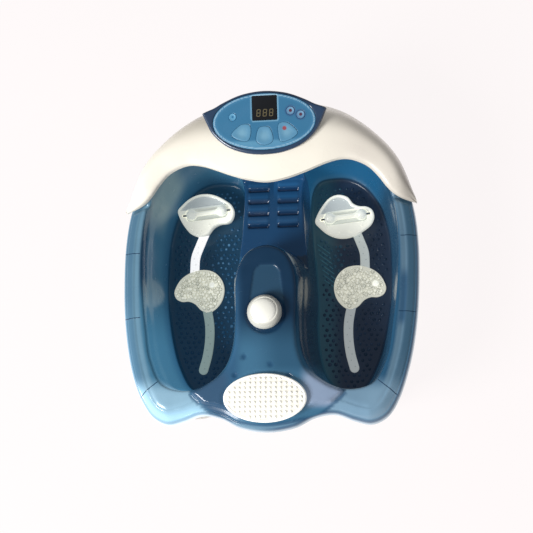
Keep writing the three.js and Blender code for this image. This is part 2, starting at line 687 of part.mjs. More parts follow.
const head = turned([
  [0, 10.5], [4.4, 10.5], [4.4, 0], [18, 0], [21.5, 2], [22.3, 5], [21, 10.5], [17, 15], [10, 18], [0, 19],
], 22);
place('massage_head', head, whiteGloss).position.set(0, HEAD_Y, HEAD_Z);
place('head_spindle', disc(4, 100, HEAD_Z + 10, 0, HEAD_Y, 16), steel);
const seal = turned([[4.4, -3], [7, -3], [7, 0.7], [9, 0.8], [9, 1.6], [4.4, 1.6], [4.4, -3]], 16);
place('spindle_seal', seal, blackRubber).position.set(0, HEAD_Y, HEAD_Z - 2);

function gear(teeth, boreRadius, turn) {
  const wheel = prism(gearOutline(teeth, turn), 0, GEAR_HEIGHT);
  return boreRadius ? cut(wheel, disc(boreRadius, -1, GEAR_HEIGHT + 1, 0, 0, 16)) : wheel;
}

const towardPinion = -Math.PI / 2;
place('spindle_gear', gear(GEAR_TEETH, 4.35, towardPinion + Math.PI / GEAR_TEETH), acetal)
  .position.set(0, HEAD_Y, HUB_Z);
const pinion = join(gear(PINION_TEETH, 0, -towardPinion), disc(1.5, -14, 1, 0, 0, 12));
place('motor_pinion', pinion, brass).position.set(0, MOTOR_Y, HUB_Z);

function driveFrame() {
  const plate = block([-27, MOTOR_Y - 17, 108], [27, HEAD_Y + 14, 111]);
  const legAt = (x) => block([x, MOTOR_Y - 17, BASE_FLOOR_Z + GAP], [x + 3, HEAD_Y + 14, 109]);
  const legs = [-27, 24].map(legAt);
  const holes = [disc(4.35, 90, 120, 0, HEAD_Y), disc(2.4, 90, 120, 0, MOTOR_Y, 12)];
  return cut(join(plate, ...legs), ...holes);
}

place('drive_frame', driveFrame(), aluminium);
const motorBody = cut(disc(17, 52, 108 - GAP, 0, MOTOR_Y, 24), disc(2, 98, 120, 0, MOTOR_Y, 12));
place('gear_motor', motorBody, motorCan);

// ---------------------------------------------------------------- vibration motor with its weight
const VIBRATOR = [0, -172, 26];
function alongX(body) {
  return body.rotate([0, 90, 0]);
}

function vibrationMotor() {
  const can = cut(alongX(disc(12, -20, 20, 0, 0, 20)), alongX(disc(2, 5, 30, 0, 0, 12)));
  const foot = block([-16, -14, BASE_FLOOR_Z + GAP - VIBRATOR[2]], [16, 14, -6]);
  return join(can, cut(foot, alongX(disc(2, 5, 30, 0, 0, 12))));
}

place('vibration_motor', vibrationMotor(), motorCan).position.set(...VIBRATOR);
const weightOutline = [];
for (let i = 0; i <= 12; i += 1) {
  const angle = Math.PI + (i / 12) * Math.PI;
  weightOutline.push(new THREE.Vector2(10 * Math.cos(angle), 10 * Math.sin(angle)));
}
weightOutline.push(new THREE.Vector2(4, 4), new THREE.Vector2(-4, 4));
const weight = join(prism(weightOutline, 0, 7), disc(1.5, -13, 1, 0, 0, 12));
place('eccentric_weight', alongX(weight.rotate([0, 0, 90])), steel)
  .position.set(VIBRATOR[0] + 22, VIBRATOR[1], VIBRATOR[2]);

// ---------------------------------------------------------------- heaters, air supply and electronics
onSides((name, side) => {
  const outline = roundedBox(56, 150, 20, side * 103, 30);
  place(`heater_plate_${name}`, prism(outline, 27.8, FLOOR_Z - WALL - GAP - 0.1), aluminium);
});

function airPump() {
  const caseBody = prism(roundedBox(60, 24, 4, -4, 170), 20, 72);
  const mounts = [-26, 18].map((x) => disc(5, BASE_FLOOR_Z + GAP, 21, x, 170, 12));
  const nipples = [-16, 8].map((x) => disc(2, 71, 80, x, 170, 10));
  return join(caseBody, ...mounts, ...nipples);
}

place('air_pump', airPump(), motorCan);
onSides((name, side) => {
  const start = [-4 + side * 12, 170, 80.6];
  const route = [
    start, [start[0], 169, 88], [-4 + side * 44, 163, 84], [side * 52, 161, 50],
    [side * 60, 152, 22], [side * 90, 132, 17], [side * 114, 123, 18], [side * 121, 118, 27.5],
  ];
  place(`air_hose_${name}`, tubeAlong(route, 2.6, 26), hoseClear);
});

function mainBoard() {
  const board = block([56, 171, 24], [84, 172.6, 92]);
  const foot = block([58, 168, BASE_FLOOR_Z + GAP], [74, 172.6, 28]);
  const relay = block([58, 164, 40], [70, 171.2, 56]);
  const capacitor = block([74, 165, 62], [81, 171.2, 76]);
  return join(board, foot, relay, capacitor);
}

place('main_board', mainBoard(), boardGreen);
const cableRoute = [
  [0, 180.4, 178.2], [0, 182.9, 167.2], [0, CABLE_Y, 150], [2, CABLE_Y, 132],
  [22, 186, 112], [50, 180, 104], [68, 174, 99], [70, 171.8, 93],
];
place('panel_cable', tubeAlong(cableRoute, 1.8, 20), blackRubber);

export default basin;
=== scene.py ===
"""Foot spa basin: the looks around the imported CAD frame. Sizes in the shape code are millimetres."""
import math

import bmesh
import bpy
import numpy as np
from mathutils import Matrix, Vector
from mathutils.geometry import delaunay_2d_cdt


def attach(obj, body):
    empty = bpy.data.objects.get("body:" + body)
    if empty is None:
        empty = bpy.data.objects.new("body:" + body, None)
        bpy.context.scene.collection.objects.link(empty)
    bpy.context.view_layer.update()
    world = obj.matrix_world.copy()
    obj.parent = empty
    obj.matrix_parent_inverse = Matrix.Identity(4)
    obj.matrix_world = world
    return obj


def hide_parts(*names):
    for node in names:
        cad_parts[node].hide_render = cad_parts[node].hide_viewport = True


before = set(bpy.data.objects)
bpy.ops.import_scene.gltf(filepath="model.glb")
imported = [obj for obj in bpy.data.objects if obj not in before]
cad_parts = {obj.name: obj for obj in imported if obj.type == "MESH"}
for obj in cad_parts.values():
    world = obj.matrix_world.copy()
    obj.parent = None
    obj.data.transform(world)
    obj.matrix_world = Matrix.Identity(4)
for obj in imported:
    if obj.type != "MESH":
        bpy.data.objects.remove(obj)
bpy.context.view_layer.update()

MM = 0.001
SEED = 11

# ---------------------------------------------------------------- camera
CAMERA_TARGET = Vector((0.0, 0.0, 0.150))
CAMERA_DIRECTION = Vector((0.14558, -0.2966, 1.0))
CAMERA_DISTANCE = 1.3
CAMERA_ROLL = 0.0104
CAMERA_LENS = 67.24
CAMERA_SHIFT = (-0.0019, -0.0127)


def add_camera():
    back = CAMERA_DIRECTION.normalized()
    right = Vector((0, 1, 0)).cross(back).normalized()
    up = back.cross(right)
    turn = Matrix.Rotation(CAMERA_ROLL, 3, back)
    right, up = turn @ right, turn @ up
    data = bpy.data.cameras.new("camera")
    data.lens = CAMERA_LENS
    data.shift_x, data.shift_y = CAMERA_SHIFT
    data.clip_start, data.clip_end = 0.05, 20.0
    camera = bpy.data.objects.new("camera", data)
    basis = Matrix((right, up, back)).transposed().to_4x4()
    camera.matrix_world = Matrix.Translation(CAMERA_TARGET + back * CAMERA_DISTANCE) @ basis
    bpy.context.scene.collection.objects.link(camera)
    bpy.context.scene.camera = camera


add_camera()

# ---------------------------------------------------------------- driving dimensions, as in the CAD
FLOOR_Z = 35.0
RIM_EDGE_Z = 141.0
DECK_Z = 150.0
RIM_WIDTH = 24.0
RIM_SKIRT_Z = 112.0
LOBE_DROP = 14.0
LOBE = (140.0, -205.0)
LOBE_REACH = 70.0
COVER_SEAT_Z = 140.0
COVER_SEAT_Y = 71.0
COLLAR_TOP_Z = 162.0
BRIDGE_Z = 97.0
RIDGE_TOP_AT_0 = 170.0
RIDGE_SLOPE = 0.07
COVER_WALL = 2.6
COVER_SKIRT_Z = 124.0
BASE_BOTTOM_Z = 4.0
BASE_TOP_Z = 120.0
PANEL_TILT = math.radians(15)
PANEL_CENTRE = Vector((0.0, 176.6, 192.2))
ROLLER_TURN = math.radians(6)
HEAD_Y = -75.0
PAD_Y = -182.0
LOUVRE_ROWS = [64.0, 81.5, 99.0, 116.5]
RIDGE_DIMPLES = [(-39, -153), (29, -154), (-28, -130), (6, -140)]

RIM_HALF = [
    (0, -222), (35, -216.5), (60, -204.5), (85, -200.5), (110, -208), (131, -211.5), (151, -202),
    (166, -180), (181, -137), (191, -84), (195.5, -30), (196, 28), (191, 72), (181, 105),
    (162, 142), (134, 172), (98, 197), (50, 211), (0, 215),
]
RIDGE_HALF = [
    (0, -213.5), (43, -207), (66, -201), (85, -187), (98, -173), (77, -161), (55, -144), (45, -121),
    (42, -90), (42, -30), (36, -6), (24, 10), (0, 18),
]
WELL = [
    (81, 151), (59, 146), (49, 128), (49, 60), (53, 15), (56, -30), (55, -70), (58, -105), (65, -132),
    (79, -151), (100, -158), (120, -150), (137, -121), (148, -86), (157, -30), (159, 28), (155, 75),
    (143, 111), (124, 137), (103, 149),
]
# A well's outline where its wall reaches the crown of the rim, point for point over WELL.
WELL_TOP = [
    (80, 162), (52, 154), (38.5, 131), (38, 60), (42, 14), (44, -30), (42.5, -71), (44, -110),
    (53, -139), (71, -158), (101, -170), (135, -162), (153, -128), (160, -90), (167.5, -31),
    (170, 28), (165.5, 78), (152, 117.5), (131.5, 145.5), (107, 159.5),
]
# Distance outside the ridge and height, down the rounded rear end of the ridge.
NOSE = [(0, 172), (3, 140), (11, 101), (14, 85)]
FRONT_KIDNEY = [
    (78, -8), (81, -25), (90, -37), (101, -42.5), (111, -38), (120, -29), (129, -25), (139, -25),
    (147, -21), (150.5, -13), (148, -3), (141, 8), (128, 17), (112, 21), (95, 18), (83, 7),
]
TRAY_KIDNEY = [
    (-41, 8), (-38, -3), (-30, -17), (-20, -28), (-8, -32), (5, -28), (13, -18), (21, -14), (31, -13),
    (39, -8), (42, 2), (38, 13), (27, 22), (14, 29), (2, 32), (-12, 31), (-25, 25), (-35, 16),
]
REAR_STRIP = [(108, 76), (115, 58), (121, 40), (122, 18)]
FRONT_STRIP = [(102, -38), (98, -60), (97.5, -82), (100, -104), (105, -124)]
STRIP_WIDTH = 13.0
# Stations of the rear cover from tip to centre: outer edge x, y, z, crown z, inner edge x, y, z.
COVER_STATIONS = [
    (195.6, 74, 144, 145, 193.5, 73, 145),
    (194.5, 81, 144, 149.5, 182, 77, 149.5),
    (190.5, 92, 146, 155.5, 170, 83, 154.5),
    (185, 107, 150, 163, 158, 93, 160),
    (176.5, 128, 154, 169, 147, 107, 164),
    (164, 148, 157, 173, 134, 120, 168),
    (148, 166, 159, 177, 118, 128, 171),
    (128, 184, 161, 180, 103, 131, 172),
    (105, 200, 162, 182, 86, 128.5, 172),
    (82, 210, 163, 184, 68, 122.5, 171),
    (55, 216, 164, 186, 49, 115.5, 169),
    (28, 219.5, 165, 187, 25, 108.5, 167),
    (0, 221, 165, 187, 0, 105, 166),
]
POD_HALF = [
    (0, -43), (25, -40.5), (50, -31), (69, -14), (77, 1), (81, 10.5), (82.5, 14), (78, 16.6),
    (67, 20.8), (54, 27.6), (30, 36.9), (0, 40.7),
]
FASCIA_X = 68.2
FASCIA_Y = 37.2
FASCIA_TOP = 4.8
FASCIA_BOTTOM = 1.3
KEY_TOP = 5.4
KEY_BOTTOM = -2.6
DISPLAY = (33.0, 32.4, 1.4, 17.9)
PETALS = {
    "button_left": [
        (-19, -4), (-28, -2.5), (-36, -7), (-43.5, -16), (-34, -23), (-22, -24.5), (-17.5, -15),
    ],
    "button_middle": [
        (-5.5, -7.5), (-9.5, -15), (-10, -26), (0, -31), (11, -26.5), (10.5, -15), (6, -7.5),
    ],
    "button_right": [(20, -4), (19, -17), (22, -27), (33, -25.5), (44, -17), (37, -7), (28, -2)],
}
ROUND_KEYS = {
    "key_light": (-41.4, 7.7, 5.0),
    "key_minus": (35.4, 12.6, 5.6),
    "key_plus": (48.8, 6.9, 5.6),
}


# ---------------------------------------------------------------- outlines
def resample(dense, count, closed=True):
    line = np.vstack([dense, dense[:1]]) if closed else dense
    lengths = np.r_[0, np.cumsum(np.linalg.norm(np.diff(line, axis=0), axis=1))]
    steps = np.linspace(0, lengths[-1], count + closed)[:count]
    return np.stack([np.interp(steps, lengths, line[:, k]) for k in range(line.shape[1])], 1)


def catmull(p0, p1, p2, p3, steps=20):
    """One stretch of a centripetal Catmull-Rom curve, from p1 up to p2."""
    t0 = 0.0
    t1 = t0 + np.linalg.norm(p1 - p0) ** 0.5
    t2 = t1 + np.linalg.norm(p2 - p1) ** 0.5
    t3 = t2 + np.linalg.norm(p3 - p2) ** 0.5
    t = np.linspace(t1, t2, steps, endpoint=False)[:, None]
    a1 = (t1 - t) / (t1 - t0) * p0 + (t - t0) / (t1 - t0) * p1
    a2 = (t2 - t) / (t2 - t1) * p1 + (t - t1) / (t2 - t1) * p2
    a3 = (t3 - t) / (t3 - t2) * p2 + (t - t2) / (t3 - t2) * p3
    b1 = (t2 - t) / (t2 - t0) * a1 + (t - t0) / (t2 - t0) * a2
    b2 = (t3 - t) / (t3 - t1) * a2 + (t - t1) / (t3 - t1) * a3
    return (t2 - t) / (t2 - t1) * b1 + (t - t1) / (t2 - t1) * b2


def smooth_loop(points, count):
    p = np.array(points, float)
    n = len(p)
    dense = [catmull(p[i - 1], p[i], p[(i + 1) % n], p[(i + 2) % n]) for i in range(n)]
    return counter_clockwise(resample(np.concatenate(dense), count))


def smooth_line(points, count):
    p = np.array(points, float)
    p = np.vstack([2 * p[0] - p[1], p, 2 * p[-1] - p[-2]])
    dense = [catmull(*p[i:i + 4]) for i in range(len(p) - 3)]
    return resample(np.vstack([*dense, p[-2:-1]]), count, closed=False)


def area(loop):
    x, y = loop[:, 0], loop[:, 1]
    return 0.5 * float(np.sum(x * np.roll(y, -1) - np.roll(x, -1) * y))


def counter_clockwise(loop):
    return loop[::-1].copy() if area(loop) < 0 else loop


def mirrored(half):
    return list(half) + [(-x, y) for x, y in reversed(half) if x > 0]


def inward(loop):
    along = np.roll(loop, -1, 0) - np.roll(loop, 1, 0)
    along /= np.linalg.norm(along, axis=1)[:, None]
    return np.stack([-along[:, 1], along[:, 0]], 1)


def inset(loop, distance):
    return loop + inward(loop) * distance


def ellipse(radius_x, radius_y, count, x=0.0, y=0.0):
    a = np.arange(count) / count * 2 * math.pi
    return np.stack([x + radius_x * np.cos(a), y + radius_y * np.sin(a)], 1)


def depth_inside(points, loop, chunk=3000):
    """Signed distance to a closed loop, positive inside."""
    a = loop
    d = np.roll(loop, -1, 0) - a
    length2 = np.maximum((d ** 2).sum(1), 1e-12)
    out = np.empty(len(points))
    for start in range(0, len(points), chunk):
        p = points[start:start + chunk, None, :2]
        t = np.clip(((p - a) * d).sum(2) / length2, 0, 1)
        distance = np.sqrt((((a + t[..., None] * d) - p) ** 2).sum(2).min(1))
        above_a = a[:, 1] > p[..., 1]
        above_b = (a[:, 1] + d[:, 1]) > p[..., 1]
        slope = np.where(d[:, 1] == 0, 1e-12, d[:, 1])
        cross = (a[:, 0] + (p[..., 1] - a[:, 1]) / slope * d[:, 0]) > p[..., 0]
        inside = ((above_a != above_b) & cross).sum(1) % 2 == 1
        out[start:start + chunk] = np.where(inside, distance, -distance)
    return out


def smoothstep(low, high, value):
    t = np.clip((value - low) / (high - low), 0, 1)
    return t * t * (3 - 2 * t)


def soft_max(a, b, radius):
    h = np.clip(0.5 + 0.5 * (a - b) / radius, 0, 1)
    return b + (a - b) * h + radius * h * (1 - h)


def soft_min(a, b, radius):
    return -soft_max(-a, -b, radius)


# ---------------------------------------------------------------- mesh building
class Shell:
    """Collects the points and faces of one piece, in millimetres."""

    def __init__(self):
        self.points = []
        self.faces = []
        self.looks = []
        self.count = 0

    def add(self, points):
        start = self.count
        self.points.append(np.asarray(points, float))
        self.count += len(points)
        return np.arange(start, self.count)

    def face(self, corners, look=0):
        self.faces.append(tuple(int(c) for c in corners))
        self.looks.append(look)

    def strip(self, ring_a, ring_b, look=0, closed=True):
        n = len(ring_a)
        for i in range(n if closed else n - 1):
            j = (i + 1) % n
            self.face((ring_a[i], ring_a[j], ring_b[j], ring_b[i]), look)

    def rings(self, rings, look=0, closed=True):
        indices = [self.add(ring) for ring in rings]
        for a, b in zip(indices, indices[1:]):
            self.strip(a, b, look, closed)
        return indices

    def cap(self, ring):
        centre = self.add([np.vstack(self.points)[ring].mean(0)])[0]
        n = len(ring)
        for i in range(n):
            self.face((ring[i], ring[(i + 1) % n], centre))

    def array(self):
        return np.vstack(self.points)


def lift(loop, z):
    height = np.broadcast_to(np.asarray(z, float), (len(loop),))
    return np.column_stack([loop, height])


def inset_rings(shell, loop, steps):
    """Rings stepped in from a loop, one for each (depth inside it, height)."""
    return shell.rings([lift(inset(loop, depth), z) for depth, z in steps])


def fill_region(shell, outer, holes, inner_points, keep):
    """Triangulates the region inside the outer ring and outside the holes, using the given points."""
    points = shell.array()
    rings = [outer, *holes]
    border = np.concatenate(rings)
    indices = np.concatenate([border, inner_points]) if len(inner_points) else border
    edges = []
    base = 0
    for ring in rings:
        n = len(ring)
        edges += [(base + i, base + (i + 1) % n) for i in range(n)]
        base += n
    coords = [Vector(points[i, :2]) for i in indices]
    result = delaunay_2d_cdt(coords, edges, [], 0, 1e-7, True)
    triangles, sources = result[2], result[3]
    tri = np.array([[sources[c][0] for c in t] for t in triangles if all(len(sources[c]) for c in t)])
    centres = points[indices[tri]][:, :, :2].mean(1)
    for t in tri[keep(centres)]:
        shell.face(indices[t])


def scatter(spacing, low, high, keep):
    """A staggered grid of points that pass the keep test."""
    rows = np.arange(low[1], high[1], spacing * 0.87)
    points = []
    for k, y in enumerate(rows):
        xs = np.arange(low[0] + (k % 2) * spacing / 2, high[0], spacing)
        points.append(np.column_stack([xs, np.full(len(xs), y)]))
    points = np.vstack(points)
    return points[keep(points)]


def thin_out(groups, spacing):
    """Drops points of later groups that lie nearer than spacing to ones kept before."""
    kept = {}
    out = []
    for points in groups:
        for p in points:
            cell = (int(p[0] // spacing), int(p[1] // spacing))
            around = [(cell[0] + i, cell[1] + j) for i in (-1, 0, 1) for j in (-1, 0, 1)]
            near = [q for place in around for q in kept.get(place, ())]
            if all((p[0] - q[0]) ** 2 + (p[1] - q[1]) ** 2 > spacing ** 2 for q in near):
                kept.setdefault(cell, []).append(p)
                out.append(p)
    return np.array(out)


def make_object(name, shell, materials, closed=True, flat_angle=None):
    mesh = bpy.data.meshes.new(name)
    mesh.from_pydata((shell.array() * MM).tolist(), [], shell.faces)
    for material in materials:
        mesh.materials.append(material)
    mesh.polygons.foreach_set("material_index", shell.looks)
    mesh.update()
    obj = bpy.data.objects.new(name, mesh)
    bpy.context.scene.collection.objects.link(obj)
    face_out(mesh, closed)
    mesh.shade_smooth()
    if flat_angle is not None:
        mesh.set_sharp_from_angle(angle=math.radians(flat_angle))
    return obj


def face_out(mesh, closed):
    """Turns the faces outwards, or upwards on an open sheet."""
    bm = bmesh.new()
    bm.from_mesh(mesh)
    bmesh.ops.recalc_face_normals(bm, faces=bm.faces)
    bm.normal_update()
    upward = sum(f.normal.z * f.calc_area() for f in bm.faces)
    wrong = bm.calc_volume(signed=True) < 0 if closed else upward < 0
    if wrong:
        bmesh.ops.reverse_faces(bm, faces=bm.faces)
    bm.to_mesh(mesh)
    bm.free()


def store_colour(obj, name, colours):
    layer = obj.data.attributes.new(name, "FLOAT_COLOR", "POINT")
    rgba = np.column_stack([colours, np.ones(len(colours))]).astype(np.float32)
    layer.data.foreach_set("color", rgba.ravel())


def paint(obj, colours, glow=None):
    """Stores a linear colour a vertex and, as glow, the share of it given back as emission: painted light
    for what the clear plastic carries into shade.
    """
    store_colour(obj, "tint", colours)
    if glow is not None:
        store_colour(obj, "glow", colours * np.reshape(glow, (-1, 1)))


def hex_colour(text):
    """A colour as linear light."""
    srgb = np.array([int(text[i:i + 2], 16) / 255 for i in (1, 3, 5)])
    return np.where(srgb <= 0.04045, srgb / 12.92, ((srgb + 0.055) / 1.055) ** 2.4)


def blend_to(base, colour, weight):
    return base + (hex_colour(colour) - base) * np.reshape(weight, (-1, 1))


def fit(obj, body, slot, *nodes):
    """Says which body a piece rides on and which CAD nodes it stands for; slot, the name of its finish, is
    not used.
    """
    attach(obj, body)
    if nodes:
        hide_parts(*nodes)
    return obj


# ---------------------------------------------------------------- materials
class Look:
    """A node material around one Principled shader."""

    def __init__(self, name, roughness=0.4, metallic=0.0, coat=0.0, specular=0.5):
        self.material = bpy.data.materials.new(name)
        self.material.use_nodes = True
        self.nodes = self.material.node_tree.nodes
        self.links = self.material.node_tree.links
        self.shader = self.nodes["Principled BSDF"]
        self.shader.inputs["Roughness"].default_value = roughness
        self.shader.inputs["Metallic"].default_value = metallic
        self.shader.inputs["Coat Weight"].default_value = coat
        self.shader.inputs["Coat Roughness"].default_value = 0.08
        self.shader.inputs["Specular IOR Level"].default_value = specular
        self.place = self.nodes.new("ShaderNodeTexCoord").outputs["Object"]

    def node(self, kind, **values):
        node = self.nodes.new(kind)
        for key, value in values.items():
            if key in node.inputs:
                node.inputs[key].default_value = value
            else:
                setattr(node, key, value)
        return node

    def noise(self, scale, detail=3.0, rough=0.5):
        node = self.node("ShaderNodeTexNoise", Scale=scale, Detail=detail, Roughness=rough)
        self.links.new(self.place, node.inputs["Vector"])
        return node.outputs["Fac"]

    def cells(self, scale, feature="F1"):
        node = self.node("ShaderNodeTexVoronoi", Scale=scale)
        node.feature = feature
        self.links.new(self.place, node.inputs["Vector"])
        return node.outputs["Distance"]

    def map_range(self, source, low, high, to_low, to_high):
        node = self.node("ShaderNodeMapRange")
        limits = {"From Min": low, "From Max": high, "To Min": to_low, "To Max": to_high}
        for key, value in limits.items():
            node.inputs[key].default_value = value
        self.links.new(source, node.inputs["Value"])
        return node.outputs["Result"]

    def join(self, source, socket):
        if isinstance(source, bpy.types.NodeSocket):
            self.links.new(source, socket)
        elif isinstance(source, (int, float)):
            socket.default_value = source
        else:
            socket.default_value = (*source, 1.0)

    def colour(self, source):
        self.join(source, self.shader.inputs["Base Color"])

    def roughness(self, source):
        self.join(source, self.shader.inputs["Roughness"])

    def bump(self, source, distance, strength=1.0):
        node = self.node("ShaderNodeBump", Distance=distance, Strength=strength)
        self.links.new(source, node.inputs["Height"])
        self.links.new(node.outputs["Normal"], self.shader.inputs["Normal"])


def mix_socket(node, name, kind):
    return next(s for s in node.inputs if s.name == name and s.type == kind)


def mixed(look, factor, first, second):
    node = look.nodes.new("ShaderNodeMix")
    node.data_type = "RGBA"
    look.join(factor, mix_socket(node, "Factor", "VALUE"))
    look.join(first, mix_socket(node, "A", "RGBA"))
    look.join(second, mix_socket(node, "B", "RGBA"))
    return next(s for s in node.outputs if s.type == "RGBA")


def plastic(name, light, dark, roughness, coat=0.0, grain=900.0, depth=0.00003, specular=0.5):
    """Moulded plastic: a slow drift between two shades, uneven gloss and a fine surface grain."""
    look = Look(name, roughness, coat=coat, specular=specular)
    drift = look.map_range(look.noise(14.0, 4.0), 0.35, 0.65, 0.0, 1.0)
    look.colour(mixed(look, drift, hex_colour(dark), hex_colour(light)))
    look.roughness(look.map_range(look.noise(60.0, 5.0), 0.3, 0.7, roughness * 0.8, roughness * 1.25))
    look.bump(look.noise(grain, 2.0), depth)
    return look.material


def painted(name, roughness, coat=0.0, specular=0.4, cloud="#1c3f5e", glows=False, grain=500.0,
            depth=0.00002):
    """Moulded plastic whose shade comes from the piece's own tint attribute, drifting a little to cloud.

    The glow attribute drives emission: painted light standing for the daylight that clear plastic carries
    into its shaded sides."""
    look = Look(name, roughness, coat=coat, specular=specular)
    tint = look.node("ShaderNodeAttribute", attribute_name="tint").outputs["Color"]
    drift = look.map_range(look.noise(22.0, 4.0), 0.3, 0.7, 0.0, 0.22)
    shade = mixed(look, drift, tint, hex_colour(cloud))
    look.colour(shade)
    if glows:
        light = look.node("ShaderNodeAttribute", attribute_name="glow").outputs["Color"]
        look.links.new(light, look.shader.inputs["Emission Color"])
        look.shader.inputs["Emission Strength"].default_value = 1.0
    look.roughness(look.map_range(look.noise(45.0, 4.0), 0.3, 0.7, roughness * 0.75, roughness * 1.3))
    look.bump(look.noise(grain, 2.0), depth)
    return look.material


def metal(name, light, dark, roughness, stretch=(1.0, 1.0, 60.0)):
    """Drawn or turned metal with fine streaks along one axis."""
    look = Look(name, roughness, metallic=1.0)
    spread = look.node("ShaderNodeMapping")
    spread.inputs["Scale"].default_value = stretch
    look.links.new(look.place, spread.inputs["Vector"])
    streaks = look.node("ShaderNodeTexNoise", Scale=90.0, Detail=4.0)
    look.links.new(spread.outputs["Vector"], streaks.inputs["Vector"])
    factor = look.map_range(streaks.outputs["Fac"], 0.35, 0.65, 0.0, 1.0)
    look.colour(mixed(look, factor, hex_colour(dark), hex_colour(light)))
    look.roughness(look.map_range(streaks.outputs["Fac"], 0.3, 0.7, roughness * 0.7, roughness * 1.3))
    look.bump(streaks.outputs["Fac"], 0.00002)
    return look.material


def circuit_board():
    look = Look("circuit_board", 0.45)
    tracks = look.map_range(look.cells(240.0, "DISTANCE_TO_EDGE"), 0.03, 0.06, 1.0, 0.0)
    look.colour(mixed(look, tracks, hex_colour("#1f5a38"), hex_colour("#5b8d4c")))
    look.bump(look.noise(300.0), 0.00005)
    return look.material


def rubber():
    look = Look("rubber", 0.85, specular=0.3)
    dust = look.map_range(look.noise(70.0, 6.0), 0.45, 0.75, 0.0, 0.6)
    look.colour(mixed(look, dust, hex_colour("#232426"), hex_colour("#3c3d3f")))
    look.bump(look.noise(700.0, 3.0), 0.00008)
    return look.material


def clear_white(name, light, dark):
    """Milky, half-clear plastic with cloudy depth."""
    look = Look(name, 0.22, coat=0.35, specular=0.5)
    cloud = look.map_range(look.noise(110.0, 5.0, 0.6), 0.35, 0.68, 0.0, 1.0)
    look.colour(mixed(look, cloud, hex_colour(dark), hex_colour(light)))
    look.shader.inputs["Subsurface Weight"].default_value = 0.25
    look.shader.inputs["Subsurface Radius"].default_value = (0.003, 0.003, 0.0025)
    look.shader.inputs["Subsurface Scale"].default_value = 1.0
    look.bump(look.noise(420.0, 3.0), 0.00006)
    return look.material


def glowing(name, colour, strength):
    look = Look(name, 0.4)
    shade = mixed(look, look.map_range(look.noise(900.0), 0.3, 0.7, 0.0, 1.0),
                  hex_colour(colour) * 0.75, hex_colour(colour))
    look.colour(shade)
    look.links.new(shade, look.shader.inputs["Emission Color"])
    look.shader.inputs["Emission Strength"].default_value = strength
    return look.material


TUB = painted("tinted_tub", 0.22, coat=0.12, specular=0.35, glows=True)
MILKY_WHITE = painted("white_gloss", 0.26, coat=0.2, specular=0.5, cloud="#f6f3e8", glows=True)
COVER_WHITE = painted("cover_white", 0.3, coat=0.15, cloud="#e6dfcf", glows=True, grain=900.0,
                      depth=0.00003)
HOUSING = plastic("housing_white", "#e3e2dc", "#d8d7d0", 0.5, grain=1400.0, depth=0.00006)
POD_BLUE = plastic("pod_blue", "#2c4360", "#24374f", 0.26, coat=0.25)
PANEL_BLUE = painted("panel_blue", 0.32, cloud="#3f7ba3", grain=1200.0)
MILKY = painted("milky_plastic", 0.24, coat=0.3, specular=0.5, cloud="#b9bcae", glows=True,
                grain=300.0, depth=0.00006)
DISPLAY_BLACK = plastic("display_black", "#16181d", "#0e1014", 0.12, coat=0.4)
DIGIT_GOLD = glowing("digit_gold", "#5f573d", 0.25)
RUBBER = rubber()
STEEL = metal("steel", "#c9ccce", "#8e9295", 0.3)
ALUMINIUM = metal("aluminium", "#c9ccce", "#a9adb0", 0.42, (1.0, 40.0, 1.0))
BRASS = metal("brass", "#d9b873", "#a8853f", 0.3)
MOTOR_CAN = metal("motor_can", "#a4a9ad", "#7c8185", 0.4)
ACETAL = plastic("acetal", "#f0ede2", "#e2dece", 0.45)
BOARD = circuit_board()
HOSE = clear_white("hose", "#d4dadb", "#bcc6c9")
CABLE = plastic("cable", "#2b2c30", "#1e1f22", 0.5)

# ---------------------------------------------------------------- tub
FILLET = 3.5
SHELL_WALL = 2.2
BAND_DEPTH = 13.0
SKIRT_INSET = 3.0
# Moulded joints across the rim: outer end and inner end of each.
SEAMS = [
    ((-193.5, 15), (-172.5, 14.5)), ((-189.5, -74.5), (-168, -73)), ((-166, -177), (-141, -158)),
    ((194, 29), (173, 28)), ((189.5, -72.5), (168, -72)), ((163, -177), (140, -159)),
]
SEAM_WIDTH = 1.1
COLLAR_WIDTH = 5.0
FACET_Y = -11.0
FACET_CORNER = 13.0
# The rim's rolled edge, the fine groove inside it and the step down to the wells.
ROLL_DROP = 8.0
ROLL_REACH = 3.6
GROOVE_AT = 5.6
GROOVE_DEPTH = 0.8
STEP_AT = (15.0, 18.5)
STEP_DEPTH = 1.5
# The ridge's own relief: rounded shoulders, seats of the head and the pad, and small dimples.
SHOULDER_DROP = 14.0
SHOULDER_REACH = 10.0
FACET_DEPTH = 1.4
HEAD_SEAT_EDGE = (24.5, 26.5)
HEAD_SEAT_DEPTH = 1.3
PAD_SEAT_RADII = (55.0, 33.0)
PAD_SEAT_DEPTH = 1.1
DIMPLE_EDGE = (2.0, 3.6)
DIMPLE_DEPTH = 0.9
SLAT_RISE = 1.8
SLOT_DEPTH = 3.4


def dense_loop(points):
    p = np.array(points, float)
    n = len(p)
    return np.concatenate([catmull(p[i - 1], p[i], p[(i + 1) % n], p[(i + 2) % n]) for i in range(n)])


def well_outlines(side, count=300):
    """A well's floor outline and its outline at the crown, matched point for point."""
    low, high = [np.vstack([loop, loop[:1]]) for loop in
                 (dense_loop([(side * x, y) for x, y in points]) for points in (WELL, WELL_TOP))]
    lengths = np.r_[0, np.cumsum(np.linalg.norm(np.diff(low, axis=0), axis=1))]
    steps = np.linspace(0, lengths[-1], count + 1)[:count]
    pair = [np.stack([np.interp(steps, lengths, line[:, k]) for k in (0, 1)], 1) for line in (low, high)]
    return [loop[::-1].copy() for loop in pair] if area(pair[0]) < 0 else pair


def well_at(well, z):
    """The well's outline at a height, or at one height a point."""
    low, high = well
    climb = (np.broadcast_to(np.asarray(z, float), (len(low),)) - FLOOR_Z) / (DECK_Z - FLOOR_Z)
    return low + (high - low) * climb[:, None]


